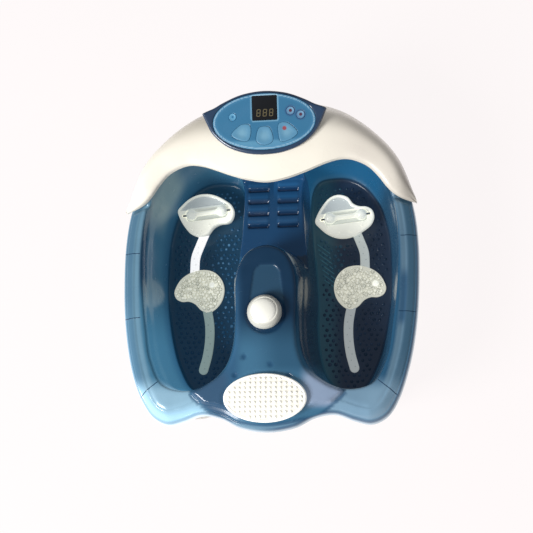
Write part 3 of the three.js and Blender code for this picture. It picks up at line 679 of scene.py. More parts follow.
RIM = smooth_loop(mirrored(RIM_HALF), 440)
RIDGE = smooth_loop(mirrored(RIDGE_HALF), 360)
WELLS = {"left": well_outlines(-1), "right": well_outlines(1)}
OPENINGS = [inset(well_at(well, DECK_Z), -1.5) for well in WELLS.values()]
OPENINGS.append(np.array([(-58, 20), (58, 20), (58, 122), (50, 141), (-50, 141), (-58, 122)], float))


def rim_surface(points, depth):
    reach = np.hypot(np.abs(points[:, 0]) - LOBE[0], points[:, 1] - LOBE[1])
    edge = RIM_EDGE_Z - LOBE_DROP * (1 - smoothstep(0, LOBE_REACH, reach))
    z = edge + (DECK_Z - edge) * np.sin(math.pi / 2 * np.clip(depth / RIM_WIDTH, 0, 1))
    z -= ROLL_DROP * (1 - np.clip(depth / ROLL_REACH, 0, 1)) ** 2.4
    z -= GROOVE_DEPTH * np.exp(-((depth - GROOVE_AT) / 0.8) ** 2)
    return z - STEP_DEPTH * smoothstep(*STEP_AT, depth)


def facet_weight(x, y):
    """The shallow flat on the ridge behind the massage head, with a round rear end."""
    half = 16.5 + (FACET_Y - y) * 0.13
    corner = np.clip(FACET_CORNER - (FACET_Y - y), 0, FACET_CORNER)
    half = half - FACET_CORNER + np.sqrt(FACET_CORNER ** 2 - corner ** 2)
    inside = half - np.abs(x - 1.5)
    return smoothstep(0, 1.6, inside) * smoothstep(0, 1.2, FACET_Y - y) * smoothstep(-72, -58, y)


def ridge_surface(points, depth):
    x, y = points[:, 0], points[:, 1]
    z = RIDGE_TOP_AT_0 + RIDGE_SLOPE * y - 1.2 * (x / 42) ** 2 * smoothstep(-140, -100, y)
    z -= SHOULDER_DROP * (1 - np.clip(depth / SHOULDER_REACH, 0, 1)) ** 3.2
    z -= FACET_DEPTH * facet_weight(x, y)
    z -= HEAD_SEAT_DEPTH * (1 - smoothstep(*HEAD_SEAT_EDGE, np.hypot(x, y - HEAD_Y)))
    pad_reach = np.hypot(x / PAD_SEAT_RADII[0], (y - PAD_Y) / PAD_SEAT_RADII[1])
    z -= PAD_SEAT_DEPTH * (1 - smoothstep(1.0, 1.06, pad_reach))
    for dimple_x, dimple_y in RIDGE_DIMPLES:
        z -= DIMPLE_DEPTH * (1 - smoothstep(*DIMPLE_EDGE, np.hypot(x - dimple_x, y - dimple_y)))
    return np.where(depth > -0.4, z, 0)


def louvres(points):
    """Slats and slots of the low bridge between the wells."""
    x, y = np.abs(points[:, 0]), points[:, 1]
    pitch = LOUVRE_ROWS[1] - LOUVRE_ROWS[0]
    inside = smoothstep(5.5, 7.5, x) * (1 - smoothstep(33.5, 35.5, x))
    relief = np.zeros(len(points))
    for row in LOUVRE_ROWS:
        slot = 1 - smoothstep(1.5, 3.0, np.abs(y - row))
        slat = np.clip((y - row) / pitch, 0, 1)
        rise = np.where((y > row) & (y < row + pitch), SLAT_RISE * (1 - slat), 0)
        relief += inside * (rise - SLOT_DEPTH * slot)
    return relief


def bridge_surface(points, over):
    """The low bridge, with the ridge's rounded nose in front and the climb to the cover behind."""
    x, y = np.abs(points[:, 0]), points[:, 1]
    rear = (y - 132 + np.clip(x - 50, 0, None) * 20 / 12) / 18
    low = BRIDGE_Z + 103 * np.maximum(0, rear) + louvres(points)
    distance, height = np.array(NOSE, float).T
    nose = np.interp(-over, distance, height) + 20 * np.clip(over, 0, None)
    return np.where(y > -20, soft_max(low, nose, 3.0), nose + 60)


def collar_height(points):
    """The low wall that rises around the openings under the rear cover."""
    reach = np.max([depth_inside(points, loop) for loop in OPENINGS], 0)
    climb = np.clip((points[:, 1] - 66) / 54, 0, 1)
    plane = COVER_SEAT_Z - 10 + (COLLAR_TOP_Z - COVER_SEAT_Z + 10) * climb
    return np.where((reach > 1.5 - COLLAR_WIDTH) & (points[:, 1] > 60), plane, 0)


def cover_seat(points):
    """The flat that the rear cover stands over; its front edge slants back towards the wells."""
    front = COVER_SEAT_Y + np.clip((193 - np.abs(points[:, 0])) * 23 / 52, -12, 11)
    return COVER_SEAT_Z + 12 * np.clip((front - points[:, 1]) / 8, 0, 9)


def deck_surface(points):
    depth = depth_inside(points, RIM)
    over = depth_inside(points, RIDGE)
    z = soft_max(rim_surface(points, depth), ridge_surface(points, over), 2.0)
    z = soft_min(z, cover_seat(points), 2.0)
    z = np.maximum(z, collar_height(points))
    wide = np.abs(points[:, 0]) < 62
    return np.where(wide, soft_min(z, bridge_surface(points, over), 2.0), z)


def well_lip(well):
    """Height of the deck along the well's edge."""
    z = np.full(len(well[0]), DECK_Z)
    for _ in range(40):
        z = 0.5 * z + 0.5 * deck_surface(well_at(well, z))
    return np.convolve(np.r_[z[-1], z, z[0]], [0.25, 0.5, 0.25], "valid")


def well_rings(well):
    """Rings from the deck's hole edge over the rounded lip, down the wall and onto the floor."""
    z = well_lip(well)
    edge = well_at(well, z)
    hole = inset(edge, -FILLET)
    hole_z = deck_surface(hole)
    rings = [lift(hole, hole_z)]
    for angle in np.radians([18, 36, 54, 72, 90]):
        reach = 1 - math.sin(angle)
        height = hole_z * reach + z * math.sin(angle)
        rings.append(lift(inset(edge, -FILLET * reach), height - FILLET * (1 - math.cos(angle))))
    top = z - FILLET
    foot = FLOOR_Z + 4.0
    for t in np.r_[np.linspace(0.04, 0.96, 18), 1.0]:
        level = top + (foot - top) * t
        bead = 1.0 * (smoothstep(112, 115, level) - smoothstep(128, 134, level))
        rings.append(lift(well_at(well, level) - inward(well_at(well, level)) * bead[:, None], level))
    for angle in np.radians([22, 45, 68, 90]):
        plan = inset(well_at(well, FLOOR_Z), 4.0 * (1 - math.cos(angle)))
        rings.append(lift(plan, FLOOR_Z + 4.0 * (1 - math.sin(angle))))
    return rings


def deck_points(outer, holes):
    """Where the deck's own points go: fine over relief, wider over plain stretches."""
    def free(points):
        ok = depth_inside(points, outer) > 1.2
        for hole in holes:
            ok &= depth_inside(points, hole) < -1.2
        return ok

    rings = [inset(RIM, d) for d in (14, 15, 16, 17, 18, 19, 20.5, 22, 24, 26.5)]
    rings += [inset(RIDGE, d) for d in (-1.6, -0.9, -0.3, 0.2, 0.8, 1.6, 2.6, 4, 5.8, 8, 10.5)]
    rear_end = RIDGE[:, 1] > -24
    rings += [inset(RIDGE, -d)[rear_end] for d in (2.4, 3.2, 4.6, 6, 7.4, 8.8, 10, 11.2, 12.4, 14)]
    groups = [ring[free(ring)] for ring in rings]
    fine = [((-40, 56), (40, 124), 1.5), ((-56, 12), (56, 56), 2.4), ((-56, 126), (56, 152), 2.0),
            ((-28, -104), (28, -12), 1.9), ((-60, -218), (60, -145), 2.2)]
    groups += [scatter(step, low, high, free) for low, high, step in fine]
    groups.append(scatter(3.4, (-196, -224), (196, 216), free))
    return thin_out(groups, 0.75)


def rim_band(shell):
    """The rim's turned-down skirt and rolled outer edge."""
    skirt = []
    lip_z = rim_surface(RIM, np.zeros(len(RIM)))
    for t in (1.0, 0.85, 0.6, 0.35, 0.15, 0.05):
        z = lip_z + (RIM_SKIRT_Z - lip_z) * t
        skirt.append(lift(inset(RIM, SKIRT_INSET * t ** 1.3), z))
    band = []
    for depth in (0, 0.2, 0.5, 1.0, 1.7, 2.6, 3.6, 4.6, 5.1, 5.6, 6.1, 6.6, 7.6, 9, 11, BAND_DEPTH):
        loop = inset(RIM, depth)
        z = rim_surface(loop, np.full(len(loop), float(depth)))
        band.append(lift(loop, soft_min(z, cover_seat(loop), 2.0)))
    return shell.rings(skirt + band)[-1]


def well_shell(shell, well):
    """One foot well; gives back the ring of its hole in the deck."""
    rings = shell.rings(well_rings(well))
    floor_ring = shell.array()[rings[-1]][:, :2]
    spots = scatter(5.0, (-170, -170), (170, 165), lambda p: depth_inside(p, floor_ring) > 3.0)
    inner = shell.add(lift(spots, FLOOR_Z))
    fill_region(shell, rings[-1], [], inner, lambda c: depth_inside(c, floor_ring) > 0)
    return rings[0]


def tub_shell():
    shell = Shell()
    outer = rim_band(shell)
    holes = [well_shell(shell, well) for well in WELLS.values()]
    points = shell.array()
    outer_loop = points[outer][:, :2]
    hole_loops = [points[h][:, :2] for h in holes]
    spots = deck_points(outer_loop, hole_loops)
    inner = shell.add(lift(spots, deck_surface(spots)))

    def on_deck(centres):
        ok = depth_inside(centres, outer_loop) > 0
        for hole in hole_loops:
            ok &= depth_inside(centres, hole) < 0
        return ok

    fill_region(shell, outer, holes, inner, on_deck)
    return shell


def wall_tint(tint, p, left):
    """Mid blue up the walls, teal at the left rear corner, painted shade nearly black on the ridge's shaded
    side, and painted light on the left walls and the right rear wall.
    """
    x, y, z = p.T
    tint = blend_to(tint, "#2b5673", smoothstep(36, 46, z))
    # Painted light: the left walls are tinted lighter than the right ones, standing for light the clear
    # plastic carries onto their shaded side.
    tint = blend_to(tint, "#3a6882", smoothstep(42, 80, z) * left)
    tint = blend_to(tint, "#234c68", smoothstep(50, 100, z) * (1 - left))
    teal = smoothstep(50, 95, y) * left * smoothstep(60, 90, z) * smoothstep(124, 142, np.abs(x))
    tint = blend_to(tint, "#708c93", teal)
    high = smoothstep(118, 140, z) * left * smoothstep(-60, -10, y)
    tint = blend_to(tint, "#1f4560", high * (1 - 0.6 * teal))
    # Painted shade: nearly black on the ridge's right side.
    inner = (1 - smoothstep(58, 76, np.abs(x))) * (1 - smoothstep(156, 160, z)) * smoothstep(36, 44, z)
    inner *= smoothstep(-150, -120, y) * (1 - smoothstep(60, 110, y))
    tint = blend_to(tint, "#1c2a3c", 0.9 * inner * (1 - left))
    # Painted light on the right well's rear wall, which lies in shade.
    rear = smoothstep(95, 125, y) * smoothstep(40, 60, z) * (1 - smoothstep(130, 140, z)) * (1 - left)
    tint = blend_to(tint, "#144a6c", 0.8 * rear)
    return blend_to(tint, "#1b4262", 0.8 * inner * left)


def ridge_tint(tint, p, over, left):
    """Mid blue on the front plateau, deep navy towards the rear end."""
    x, y, z = p.T
    top = smoothstep(-1, 4, over) * (z > 130)
    tint = blend_to(tint, "#3c6782", top)
    tint = blend_to(tint, "#2c526b", top * (1 - left) * smoothstep(-160, -140, y))
    tint = blend_to(tint, "#0d2a42", top * smoothstep(-125, -72, y))
    # Painted highlight along the ridge top's left edge.
    left_edge = smoothstep(26, 42, -x) * (1 - smoothstep(-60, 0, y))
    tint = blend_to(tint, "#2b5170", 0.8 * top * left_edge)
    tint = blend_to(tint, "#26445a", 0.9 * facet_weight(x, y) * top)
    # The plateau's wings; the pale front of the right wing is a painted highlight.
    wings = top * smoothstep(40, 56, np.abs(x)) * (1 - smoothstep(-160, -140, y))
    tint = blend_to(tint, "#34506a", wings * left)
    tint = blend_to(tint, "#8494ab", wings * (1 - left) * smoothstep(-196, -186, y))
    blots = np.zeros(len(p))
    for spot_x, spot_y in RIDGE_DIMPLES:
        blots = np.maximum(blots, 1 - smoothstep(2.0, 5.5, np.hypot(x - spot_x, y - spot_y)))
    tint = blend_to(tint, "#1d4260", 0.85 * blots * top)
    shadow = top * (1 - smoothstep(23, 30, np.hypot(x, y - HEAD_Y)))
    return blend_to(tint, "#0c2640", 0.8 * shadow)


def rim_tint(tint, p, depth, over, left):
    """The rim: a greyer outer roll, a paler crown inside it and pale front lobes."""
    x, y, z = p.T
    outside = (depth > -1) & (z > RIM_SKIRT_Z - 2) & (over < 0) & (y < 95)
    rim = outside * (1 - smoothstep(15, 19, depth)) * smoothstep(116, 118, z)
    # The left half is painted lighter than the right in the roll, crown, lobes and edge: painted light
    # falling from the left.
    tint = blend_to(tint, "#486a80", rim * left)
    tint = blend_to(tint, "#40637a", rim * (1 - left))
    crown = outside * smoothstep(13, 17, depth) * (1 - smoothstep(22, 26, depth)) * (z > 140)
    tint = blend_to(tint, "#5f8296", crown * left)
    tint = blend_to(tint, "#5a7689", crown * (1 - left))
    shaded = (1 - left) * smoothstep(-95, -80, y) * (1 - smoothstep(-30, -10, y))
    tint = blend_to(tint, "#33546f", crown * shaded)
    lobe = outside * smoothstep(52, 78, np.abs(x)) * (1 - smoothstep(-176, -150, y))
    lobe *= smoothstep(116, 118, z)
    tint = blend_to(tint, "#84a6b9", lobe * left)
    tint = blend_to(tint, "#718fa4", lobe * (1 - left))
    bulge = outside * (1 - smoothstep(52, 78, np.abs(x))) * (1 - smoothstep(-196, -180, y))
    tint = blend_to(tint, "#64859b", bulge)
    tint = blend_to(tint, "#6a889c", outside * (1 - smoothstep(3.0, 5.5, depth)) * left)
    tint = blend_to(tint, "#46617a", outside * (1 - smoothstep(3.0, 5.5, depth)) * (1 - left))
    # Painted shade along the crease where the ridge meets the rim.
    crease = smoothstep(-3.6, -1.2, over) * (1 - smoothstep(-0.6, 1.4, over)) * (z > 120)
    tint = blend_to(tint, "#1f4362", 0.75 * crease * (1 - smoothstep(-170, -150, y)))
    # Painted light: a pale band along the outer edge, for the light the clear edge carries.
    return blend_to(tint, "#b0c0cb", outside * (1 - smoothstep(0.3, 2.0, depth)))


def tub_tint(p):
    """The tub's colour: deep navy floors, mid blue walls and a pale outer edge, which is painted light."""
    x, y, z = p.T
    depth = depth_inside(p, RIM)
    over = depth_inside(p, RIDGE)
    left = 1 - smoothstep(-20, 20, x)
    tint = np.tile(hex_colour("#123a57"), (len(p), 1))
    tint = wall_tint(tint, p, left)
    floor = 1 - smoothstep(36, 41, z)
    inner_side = 1 - smoothstep(66, 92, np.abs(x))
    tint = blend_to(tint, "#1a4059", floor * left)
    tint = blend_to(tint, "#28364a", floor * (1 - left))
    tint = blend_to(tint, "#33606e", 0.7 * floor * (1 - left) * inner_side)
    bridge = ((np.abs(x) < 46) & (y > 20) & (y < 135) & (z < 112)).astype(float)
    tint = blend_to(tint, "#153a5c", bridge)
    slots = sum(np.exp(-((y - row) / 3.4) ** 2) for row in LOUVRE_ROWS)
    inside = smoothstep(4.5, 6.5, np.abs(x)) * (1 - smoothstep(34, 37, np.abs(x)))
    slats = sum(np.exp(-((y - row - 6.5) / 3.0) ** 2) for row in LOUVRE_ROWS)
    tint = blend_to(tint, "#1f4a70", 0.8 * np.clip(bridge * slats, 0, 1) * inside)
    # Painted shade: near-black in the louvre slots.
    tint = blend_to(tint, "#081a33", 0.95 * np.clip(bridge * slots, 0, 1) * inside)
    tint = ridge_tint(tint, p, over, left)
    return rim_tint(tint, p, depth, over, left)


def tub_glow(p):
    """How much painted glow each spot gets, as a share of its tint: most in the left well's outer wall, some
    on the right well's rear wall.
    """
    x, y, z = p.T
    outer = smoothstep(95, 125, np.abs(x) + 0.4 * np.clip(-y - 120, 0, None)) * smoothstep(37, 46, z)
    outer *= 1 - smoothstep(140, 150, z)
    front = 1 - smoothstep(-110, 0, y)
    rear = smoothstep(95, 125, y) * (z < 140) * (z > 40) * (x > 0)
    return 0.24 + outer * np.where(x < 0, 0.15 + 0.75 * front, 0.0) + 0.55 * rear


def vertex_places(obj):
    """The piece's own points, in millimetres."""
    co = np.empty(len(obj.data.vertices) * 3)
    obj.data.vertices.foreach_get("co", co)
    return co.reshape(-1, 3) / MM


def build_tub():
    obj = make_object("tub_shell", tub_shell(), [TUB], closed=False)
    wall = obj.modifiers.new("wall", "SOLIDIFY")
    wall.thickness = SHELL_WALL * MM
    wall.offset = -1.0
    p = vertex_places(obj)
    paint(obj, tub_tint(p), tub_glow(p))
    fit(obj, "root", "tinted_tub", "tub")


def build_rim_seams():
    """Fine dark joints that lie on the rim."""
    shell = Shell()
    for outer, inner in SEAMS:
        line = np.linspace(outer, inner, 24)
        along = (line[-1] - line[0]) / np.linalg.norm(line[-1] - line[0])
        side = np.array([along[1], -along[0]]) * SEAM_WIDTH / 2
        rings = []
        for offset, rise in ((-1.0, 0.02), (-0.5, 0.14), (0.5, 0.14), (1.0, 0.02)):
            points = line + side * offset
            rings.append(lift(points, deck_surface(points) + rise))
        shell.rings(rings, closed=False)
    obj = make_object("rim_seams", shell, [TUB], closed=False)
    count = len(shell.array())
    paint(obj, np.tile(hex_colour("#1d3c58"), (count, 1)), np.zeros(count))
    fit(obj, "root", "tinted_tub")


build_tub()
build_rim_seams()


# ---------------------------------------------------------------- shared piece shapes
DOME_LEVELS = (0.0, 0.4, 0.75)


def dome(shell, centre, radius, height, sides=8):
    """A small raised nodule standing on its centre point."""
    x, y, z = centre
    loops = []
    for level in DOME_LEVELS:
        angle = level * math.pi / 2
        loops.append(lift(ellipse(radius * math.cos(angle), radius * math.cos(angle), sides, x, y),
                          z + height * math.sin(angle)))
    top_ring = shell.rings(loops)[-1]
    apex = shell.add([(x, y, z + height)])[0]
    for i in range(sides):
        shell.face((top_ring[i], top_ring[(i + 1) % sides], apex))


def lathe(shell, profile, sides=48, flutes=0, flute_depth=0.0):
    """Turns a profile of (radius, height) about the upright axis; both ends are closed."""
    angles = np.arange(sides) / sides * 2 * math.pi
    rings = []
    for radius, z in profile:
        reach = radius - flute_depth * radius * (0.5 - 0.5 * np.cos(flutes * angles))
        rings.append(np.column_stack([reach * np.cos(angles), reach * np.sin(angles), np.full(sides, z)]))
    indices = shell.rings(rings)
    shell.cap(indices[0])
    shell.cap(indices[-1])


def moved(shell, matrix):
    """Carries every point of the shell by a 4x4 placement in millimetres."""
    points = shell.array()
    turned = points @ np.array(matrix.to_3x3()).T + np.array(matrix.translation)
    shell.points = [turned]
    return shell


def plate_top(shell, edge, spacing, height, holes=(), keep_off=0.6):
    """Closes a plate's top edge ring with a field of points at height(points), around any holes."""
    points = shell.array()
    outline = points[edge][:, :2]
    hole_loops = [points[hole][:, :2] for hole in holes]

    def free(p, margin):
        ok = depth_inside(p, outline) > margin
        for loop in hole_loops:
            ok &= depth_inside(p, loop) < -margin
        return ok

    spots = scatter(spacing, outline.min(0), outline.max(0), lambda p: free(p, keep_off))
    inner = shell.add(lift(spots, height(spots)))
    fill_region(shell, edge, list(holes), inner, lambda c: free(c, 0))


def refinish(material, *names):
    """Gives CAD nodes that stay in view their finish."""
    for name in names:
        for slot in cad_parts[name].material_slots:
            slot.material = material


# ---------------------------------------------------------------- nodules and ribs on the well floors
NODULE_PITCH = 8.2
RIB_COUNT = 8
FITTING_Z = FLOOR_Z + 0.4
TRAYS = {"left": (-103.5, 96.5, 1), "right": (95.0, 87.5, -1)}


def side_of(name):
    return -1 if name == "left" else 1


def kidney_loop(name, count=160):
    return smooth_loop([(side_of(name) * x, y) for x, y in FRONT_KIDNEY], count)


def tray_loop(name, count=160):
    x, y, flip = TRAYS[name]
    return smooth_loop([(x + px, y + flip * py) for px, py in TRAY_KIDNEY], count)


def ribbon_loop(path, width, count=60, end_steps=9):
    """The outline of a strip of one width along a path, with round ends."""
    line = smooth_line(path, count)
    along = np.gradient(line, axis=0)
    along /= np.linalg.norm(along, axis=1)[:, None]
    across = np.stack([along[:, 1], -along[:, 0]], 1) * width / 2
    turn = np.linspace(0, math.pi, end_steps + 2)[1:-1, None]
    far_end = line[-1] + across[-1] * np.cos(turn) + along[-1] * width / 2 * np.sin(turn)
    near_end = line[0] - across[0] * np.cos(turn) - along[0] * width / 2 * np.sin(turn)
    loop = np.vstack([line + across, far_end, (line - across)[::-1], near_end])
    return counter_clockwise(loop)


def strip_path(name, path):
    return [(side_of(name) * x, y) for x, y in path]


def floor_nodules(name):
    """Rows of small raised nodules over a well floor, clear of what is fitted there."""
    keep_out = [kidney_loop(name, 60), tray_loop(name, 60)]
    keep_out += [ribbon_loop(strip_path(name, p), STRIP_WIDTH, 20) for p in (REAR_STRIP, FRONT_STRIP)]
    floor = inset(WELLS[name][0], 8.0)

    def free(points):
        ok = depth_inside(points, floor) > 0
        for loop in keep_out:
            ok &= depth_inside(points, loop) < -3.5
        return ok

    return scatter(NODULE_PITCH, (-170, -170), (170, 165), free)


def build_floor_nodules():
    rng = np.random.default_rng(SEED)
    for name in WELLS:
        shell = Shell()
        share = []
        for x, y in floor_nodules(name):
            x, y = x + rng.uniform(-1.4, 1.4), y + rng.uniform(-1.4, 1.4)
            before = len(shell.array()) if share else 0
            dome(shell, (x, y, FLOOR_Z - 0.1), rng.uniform(1.6, 2.9), 1.5)
            share += [rng.random()] * (len(shell.array()) - before)
        if name == "right":
            for k in range(RIB_COUNT):
                add_rib(shell, (55 + 1.4 * k, 54 - 7.5 * k), 22.0, -38.0)
        share += [-1.0] * (len(shell.array()) - len(share))
        obj = make_object(f"floor_nodules_{name}", shell, [TUB], closed=False)
        p = vertex_places(obj)
        paint(obj, nodule_tint(p, name, np.array(share)), np.full(len(p), 0.3))
        fit(obj, "root", "tinted_tub")


def add_rib(shell, start, length, angle, width=1.6, height=1.0):
    """A low slanting rib on a well floor."""
    along = np.array([math.cos(math.radians(angle)), math.sin(math.radians(angle))])
    loop = ribbon_loop([np.array(start) + along * t * length for t in (0, 0.35, 0.7, 1)], width, 8, 3)
    shell.cap(inset_rings(shell, loop, [(0, FLOOR_Z - 0.1), (0.3, FLOOR_Z + height)])[-1])


def nodule_tint(p, name, share):
    """Bright and dim nodules on the left floor's inner side, where painted light lifts the floor and painted
    highlights sit on the crests of the bright ones; dark ones elsewhere, pale ribs.
    """
    inner = 1 - smoothstep(84, 104, np.abs(p[:, 0]))
    crest = smoothstep(FLOOR_Z + 0.6, FLOOR_Z + 1.5, p[:, 2])
    if name == "left":
        tint = np.tile(hex_colour("#163650"), (len(p), 1))
        lit = inner * smoothstep(-110, -60, p[:, 1])
        tint = blend_to(tint, "#245577", 0.8 * lit)
        return blend_to(tint, "#5c8db1", lit * crest * smoothstep(0.6, 1.0, share))
    tint = np.tile(hex_colour("#253448"), (len(p), 1))
    tint = blend_to(tint, "#1b2a3c", smoothstep(0.3, 0.8, share))
    tint = blend_to(tint, "#2c5468", 0.7 * inner * smoothstep(-10, 10, p[:, 1]))
    return blend_to(tint, "#417080", (share < 0) * 0.8)


build_floor_nodules()


# ---------------------------------------------------------------- rear cover
COVER_SECTIONS = 220
POD_OUTLINE = smooth_loop(mirrored(POD_HALF), 200)
# Height below the panel's middle, and the share of the pod's outline that its bowl has there.
POD_BOWL = [(-24, 0.70), (-17, 0.81), (-9, 0.91), (-4, 0.968), (-1, 1.0)]
POD_OVERLAP = 0.06


def panel_matrix():
    return Matrix.Translation(PANEL_CENTRE) @ Matrix.Rotation(PANEL_TILT, 4, "X")


def cover_top(width, outer_z, crown_z, inner_z, lip):
    """The cover's top skin across one section, as (distance from the outer edge, height)."""
    knots = [
        (0, outer_z - min(6, 0.3 * width)), (0.05 * width, outer_z),
        (0.18 * width, (outer_z + crown_z) / 2 + 2), (0.42 * width, crown_z),
        (0.72 * width, (crown_z + inner_z) / 2 + 1), (0.95 * width, inner_z),
        (width, inner_z - 0.25 * lip),
    ]
    return smooth_line(knots, 30)


def cover_section(station):
    outer_x, outer_y, outer_z, crown_z, inner_x, inner_y, inner_z = station
    across = np.array([inner_x - outer_x, inner_y - outer_y])
    width = np.linalg.norm(across)
    wall = min(COVER_WALL, 0.3 * width)
    skirt_z = max(COVER_SKIRT_Z, outer_z - 2 - 0.9 * width)
    lip = min(9, 0.35 * width)
    top = cover_top(width, outer_z, crown_z, inner_z, lip)
    below = np.column_stack([wall + top[:, 0] * (1 - 2 * wall / width), top[:, 1] - wall])[::-1]
    inner_edge = [(width, inner_z - lip), (width - wall, inner_z - lip)]
    outline = np.vstack([[(0, skirt_z)], top, inner_edge, below, [(wall, skirt_z)]])
    share = outline[:, 0] / width
    return np.column_stack([outer_x + across[0] * share, outer_y + across[1] * share, outline[:, 1]])


def under_pod(centres):
    """Whether points lie where the control pod is let into the cover."""
    local = (centres - np.array(PANEL_CENTRE)) @ np.array(Matrix.Rotation(PANEL_TILT, 3, "X"))
    reach = np.interp(local[:, 2], *zip(*POD_BOWL)) - POD_OVERLAP
    inside = depth_inside(local[:, :2] / reach[:, None], POD_OUTLINE) > 0
    return inside & (local[:, 2] > POD_BOWL[0][0] + 1)


def build_rear_cover():
    right = np.array(COVER_STATIONS, float)
    left = right * (-1, 1, 1, 1, -1, 1, 1)
    stations = smooth_line(np.vstack([left, right[:-1][::-1]]), COVER_SECTIONS)
    shell = Shell()
    indices = [shell.add(cover_section(station)) for station in stations]
    points = shell.array()
    for a, b in zip(indices, indices[1:]):
        middles = (points[a] + points[b]) / 2
        hidden = under_pod((middles + np.roll(middles, -1, 0)) / 2)
        for i in np.flatnonzero(~hidden):
            j = (i + 1) % len(a)
            shell.face((a[i], a[j], b[j], b[i]))
    for ring in (indices[0], indices[-1]):
        shell.face(ring)
    obj = make_object("rear_cover_shell", shell, [COVER_WHITE], flat_angle=50)
    p = vertex_places(obj)
    # Painted shade: the cover is tinted darker towards its right wing and tip and at its left rear, and gets
    # a little painted glow.
    tint = np.tile(hex_colour("#efe8da"), (len(p), 1))
    tint = blend_to(tint, "#d6cec3", smoothstep(60, 130, p[:, 0]))
    tint = blend_to(tint, "#aaa39a", smoothstep(165, 185, p[:, 0]))
    tint = blend_to(tint, "#cac2b3", smoothstep(140, 200, p[:, 1]) * (p[:, 0] < 60))
    paint(obj, tint, np.full(len(p), 0.13))
    fit(obj, "root", "white_cover", "rear_cover")


build_rear_cover()


# ---------------------------------------------------------------- control pod, fascia, display and keys
FASCIA_COUNT = 200
SEAT_GAP = 0.4
KEY_GAP = 0.2
# The bezel's rounded brow, as height and distance in from the pod's outline.
BEZEL = [(1.5, 0.0), (3.2, 0.25), (4.4, 0.9), (5.1, 1.8), (5.4, 2.9)]
DIGIT_SIZE = (5.4, 9.9)
DIGIT_PLACES = (-7.2, 1.2, 9.6)
DIGIT_FOOT = 6.4
SEGMENT = 1.15
DIGIT_LEAN = 0.09


def outline_towards(loop, radius_x, radius_y):
    """Points of an ellipse in the same directions from the middle as the loop's points."""
    angle = np.arctan2(loop[:, 1] / radius_y, loop[:, 0] / radius_x)
    return np.column_stack([radius_x * np.cos(angle), radius_y * np.sin(angle)])


def pod_shell():
    shell = Shell()
    rings = [lift(POD_OUTLINE * scale, z) for z, scale in POD_BOWL]
    rings += [lift(inset(POD_OUTLINE, depth), z) for z, depth in BEZEL]
    brow_z, brow_depth = BEZEL[-1]
    brow = inset(POD_OUTLINE, brow_depth)
    seat = outline_towards(POD_OUTLINE, FASCIA_X + SEAT_GAP, FASCIA_Y + SEAT_GAP)
    rings += [lift(brow + (seat - brow) * t, brow_z) for t in (0.35, 0.7, 0.92)]
    rings += [lift(seat, brow_z - 0.3), lift(seat, FASCIA_BOTTOM)]
    indices = shell.rings(rings)
    shell.cap(indices[0])
    shell.cap(indices[-1])
    return shell


def key_outline(name, count=72):
    if name in PETALS:
        return smooth_loop(PETALS[name], count)
    x, y, radius = ROUND_KEYS[name]
    return ellipse(radius, radius, count, x, y)


def display_outline(count=16, radius=1.5):
    """The display window's rounded rectangle."""
    width, depth, x, y = DISPLAY
    loop = []
    for i in range(4 * count):
        angle = (i + 0.5) / (4 * count) * 2 * math.pi
        loop.append((x + math.copysign(width / 2 - radius, math.cos(angle)) + radius * math.cos(angle),
                     y + math.copysign(depth / 2 - radius, math.sin(angle)) + radius * math.sin(angle)))
    return np.array(loop)


def fascia_shell():
    shell = Shell()
    edge = ellipse(FASCIA_X, FASCIA_Y, FASCIA_COUNT)
    steps = [(0, FASCIA_BOTTOM), (0, FASCIA_TOP - 0.8), (0.25, FASCIA_TOP - 0.2), (0.9, FASCIA_TOP)]
    top_edge = inset_rings(shell, edge, steps)[-1]
    hole = [(0.5, FASCIA_TOP), (0.15, FASCIA_TOP - 0.15), (0.0, FASCIA_TOP - 0.5), (0.0, FASCIA_BOTTOM)]
    steps = [(-KEY_GAP - depth, z) for depth, z in hole]
    loops = [key_outline(name) for name in (*PETALS, *ROUND_KEYS)] + [display_outline()]
    windows = [inset_rings(shell, loop, steps)[0] for loop in loops]
    plate_top(shell, top_edge, 1.5, lambda p: FASCIA_TOP, windows)
    return shell


def fascia_tint(local):
    """Mid blue, with a painted highlight as a pale line round the edge, and a lighter band along the front.
    """
    depth = depth_inside(local, ellipse(FASCIA_X, FASCIA_Y, FASCIA_COUNT))
    tint = np.tile(hex_colour("#3a7498"), (len(local), 1))
    front = (1 - smoothstep(-27, -23, local[:, 1])) * (1 - smoothstep(46, 56, np.abs(local[:, 0])))
    tint = blend_to(tint, "#5e96b5", front)
    # Painted highlight on the rounded edge: lighter near it here, and a pale line round it at the end.
    tint = blend_to(tint, "#4f8bb1", 0.5 * (1 - smoothstep(2.5, 7, depth)))
    window = depth_inside(local, display_outline())
    tint = blend_to(tint, "#75a5c0", (window > -2.0).astype(float))
    for name in ("key_minus", "key_plus"):
        x, y, radius = ROUND_KEYS[name]
        reach = np.hypot(local[:, 0] - x, local[:, 1] - y)
        tint = blend_to(tint, "#39648c", 1 - smoothstep(radius + 1.4, radius + 2.6, reach))
    return blend_to(tint, "#a3c6da", smoothstep(0.8, 1.5, depth) * (1 - smoothstep(2.2, 3.0, depth)))


def digit_bars(foot_x):
    """The seven bars of one figure, as (start, end) of each bar's middle line."""
    width, height = DIGIT_SIZE
    left, right = foot_x - width / 2 + SEGMENT / 2, foot_x + width / 2 - SEGMENT / 2
    low, high = DIGIT_FOOT + SEGMENT / 2, DIGIT_FOOT + height - SEGMENT / 2
    middle = (low + high) / 2
    gap = 0.55
    level = [((left + gap, y), (right - gap, y)) for y in (low, middle, high)]
    halves = ((low, middle), (middle, high))
    return level + [((x, a + gap), (x, b - gap)) for x in (left, right) for a, b in halves]


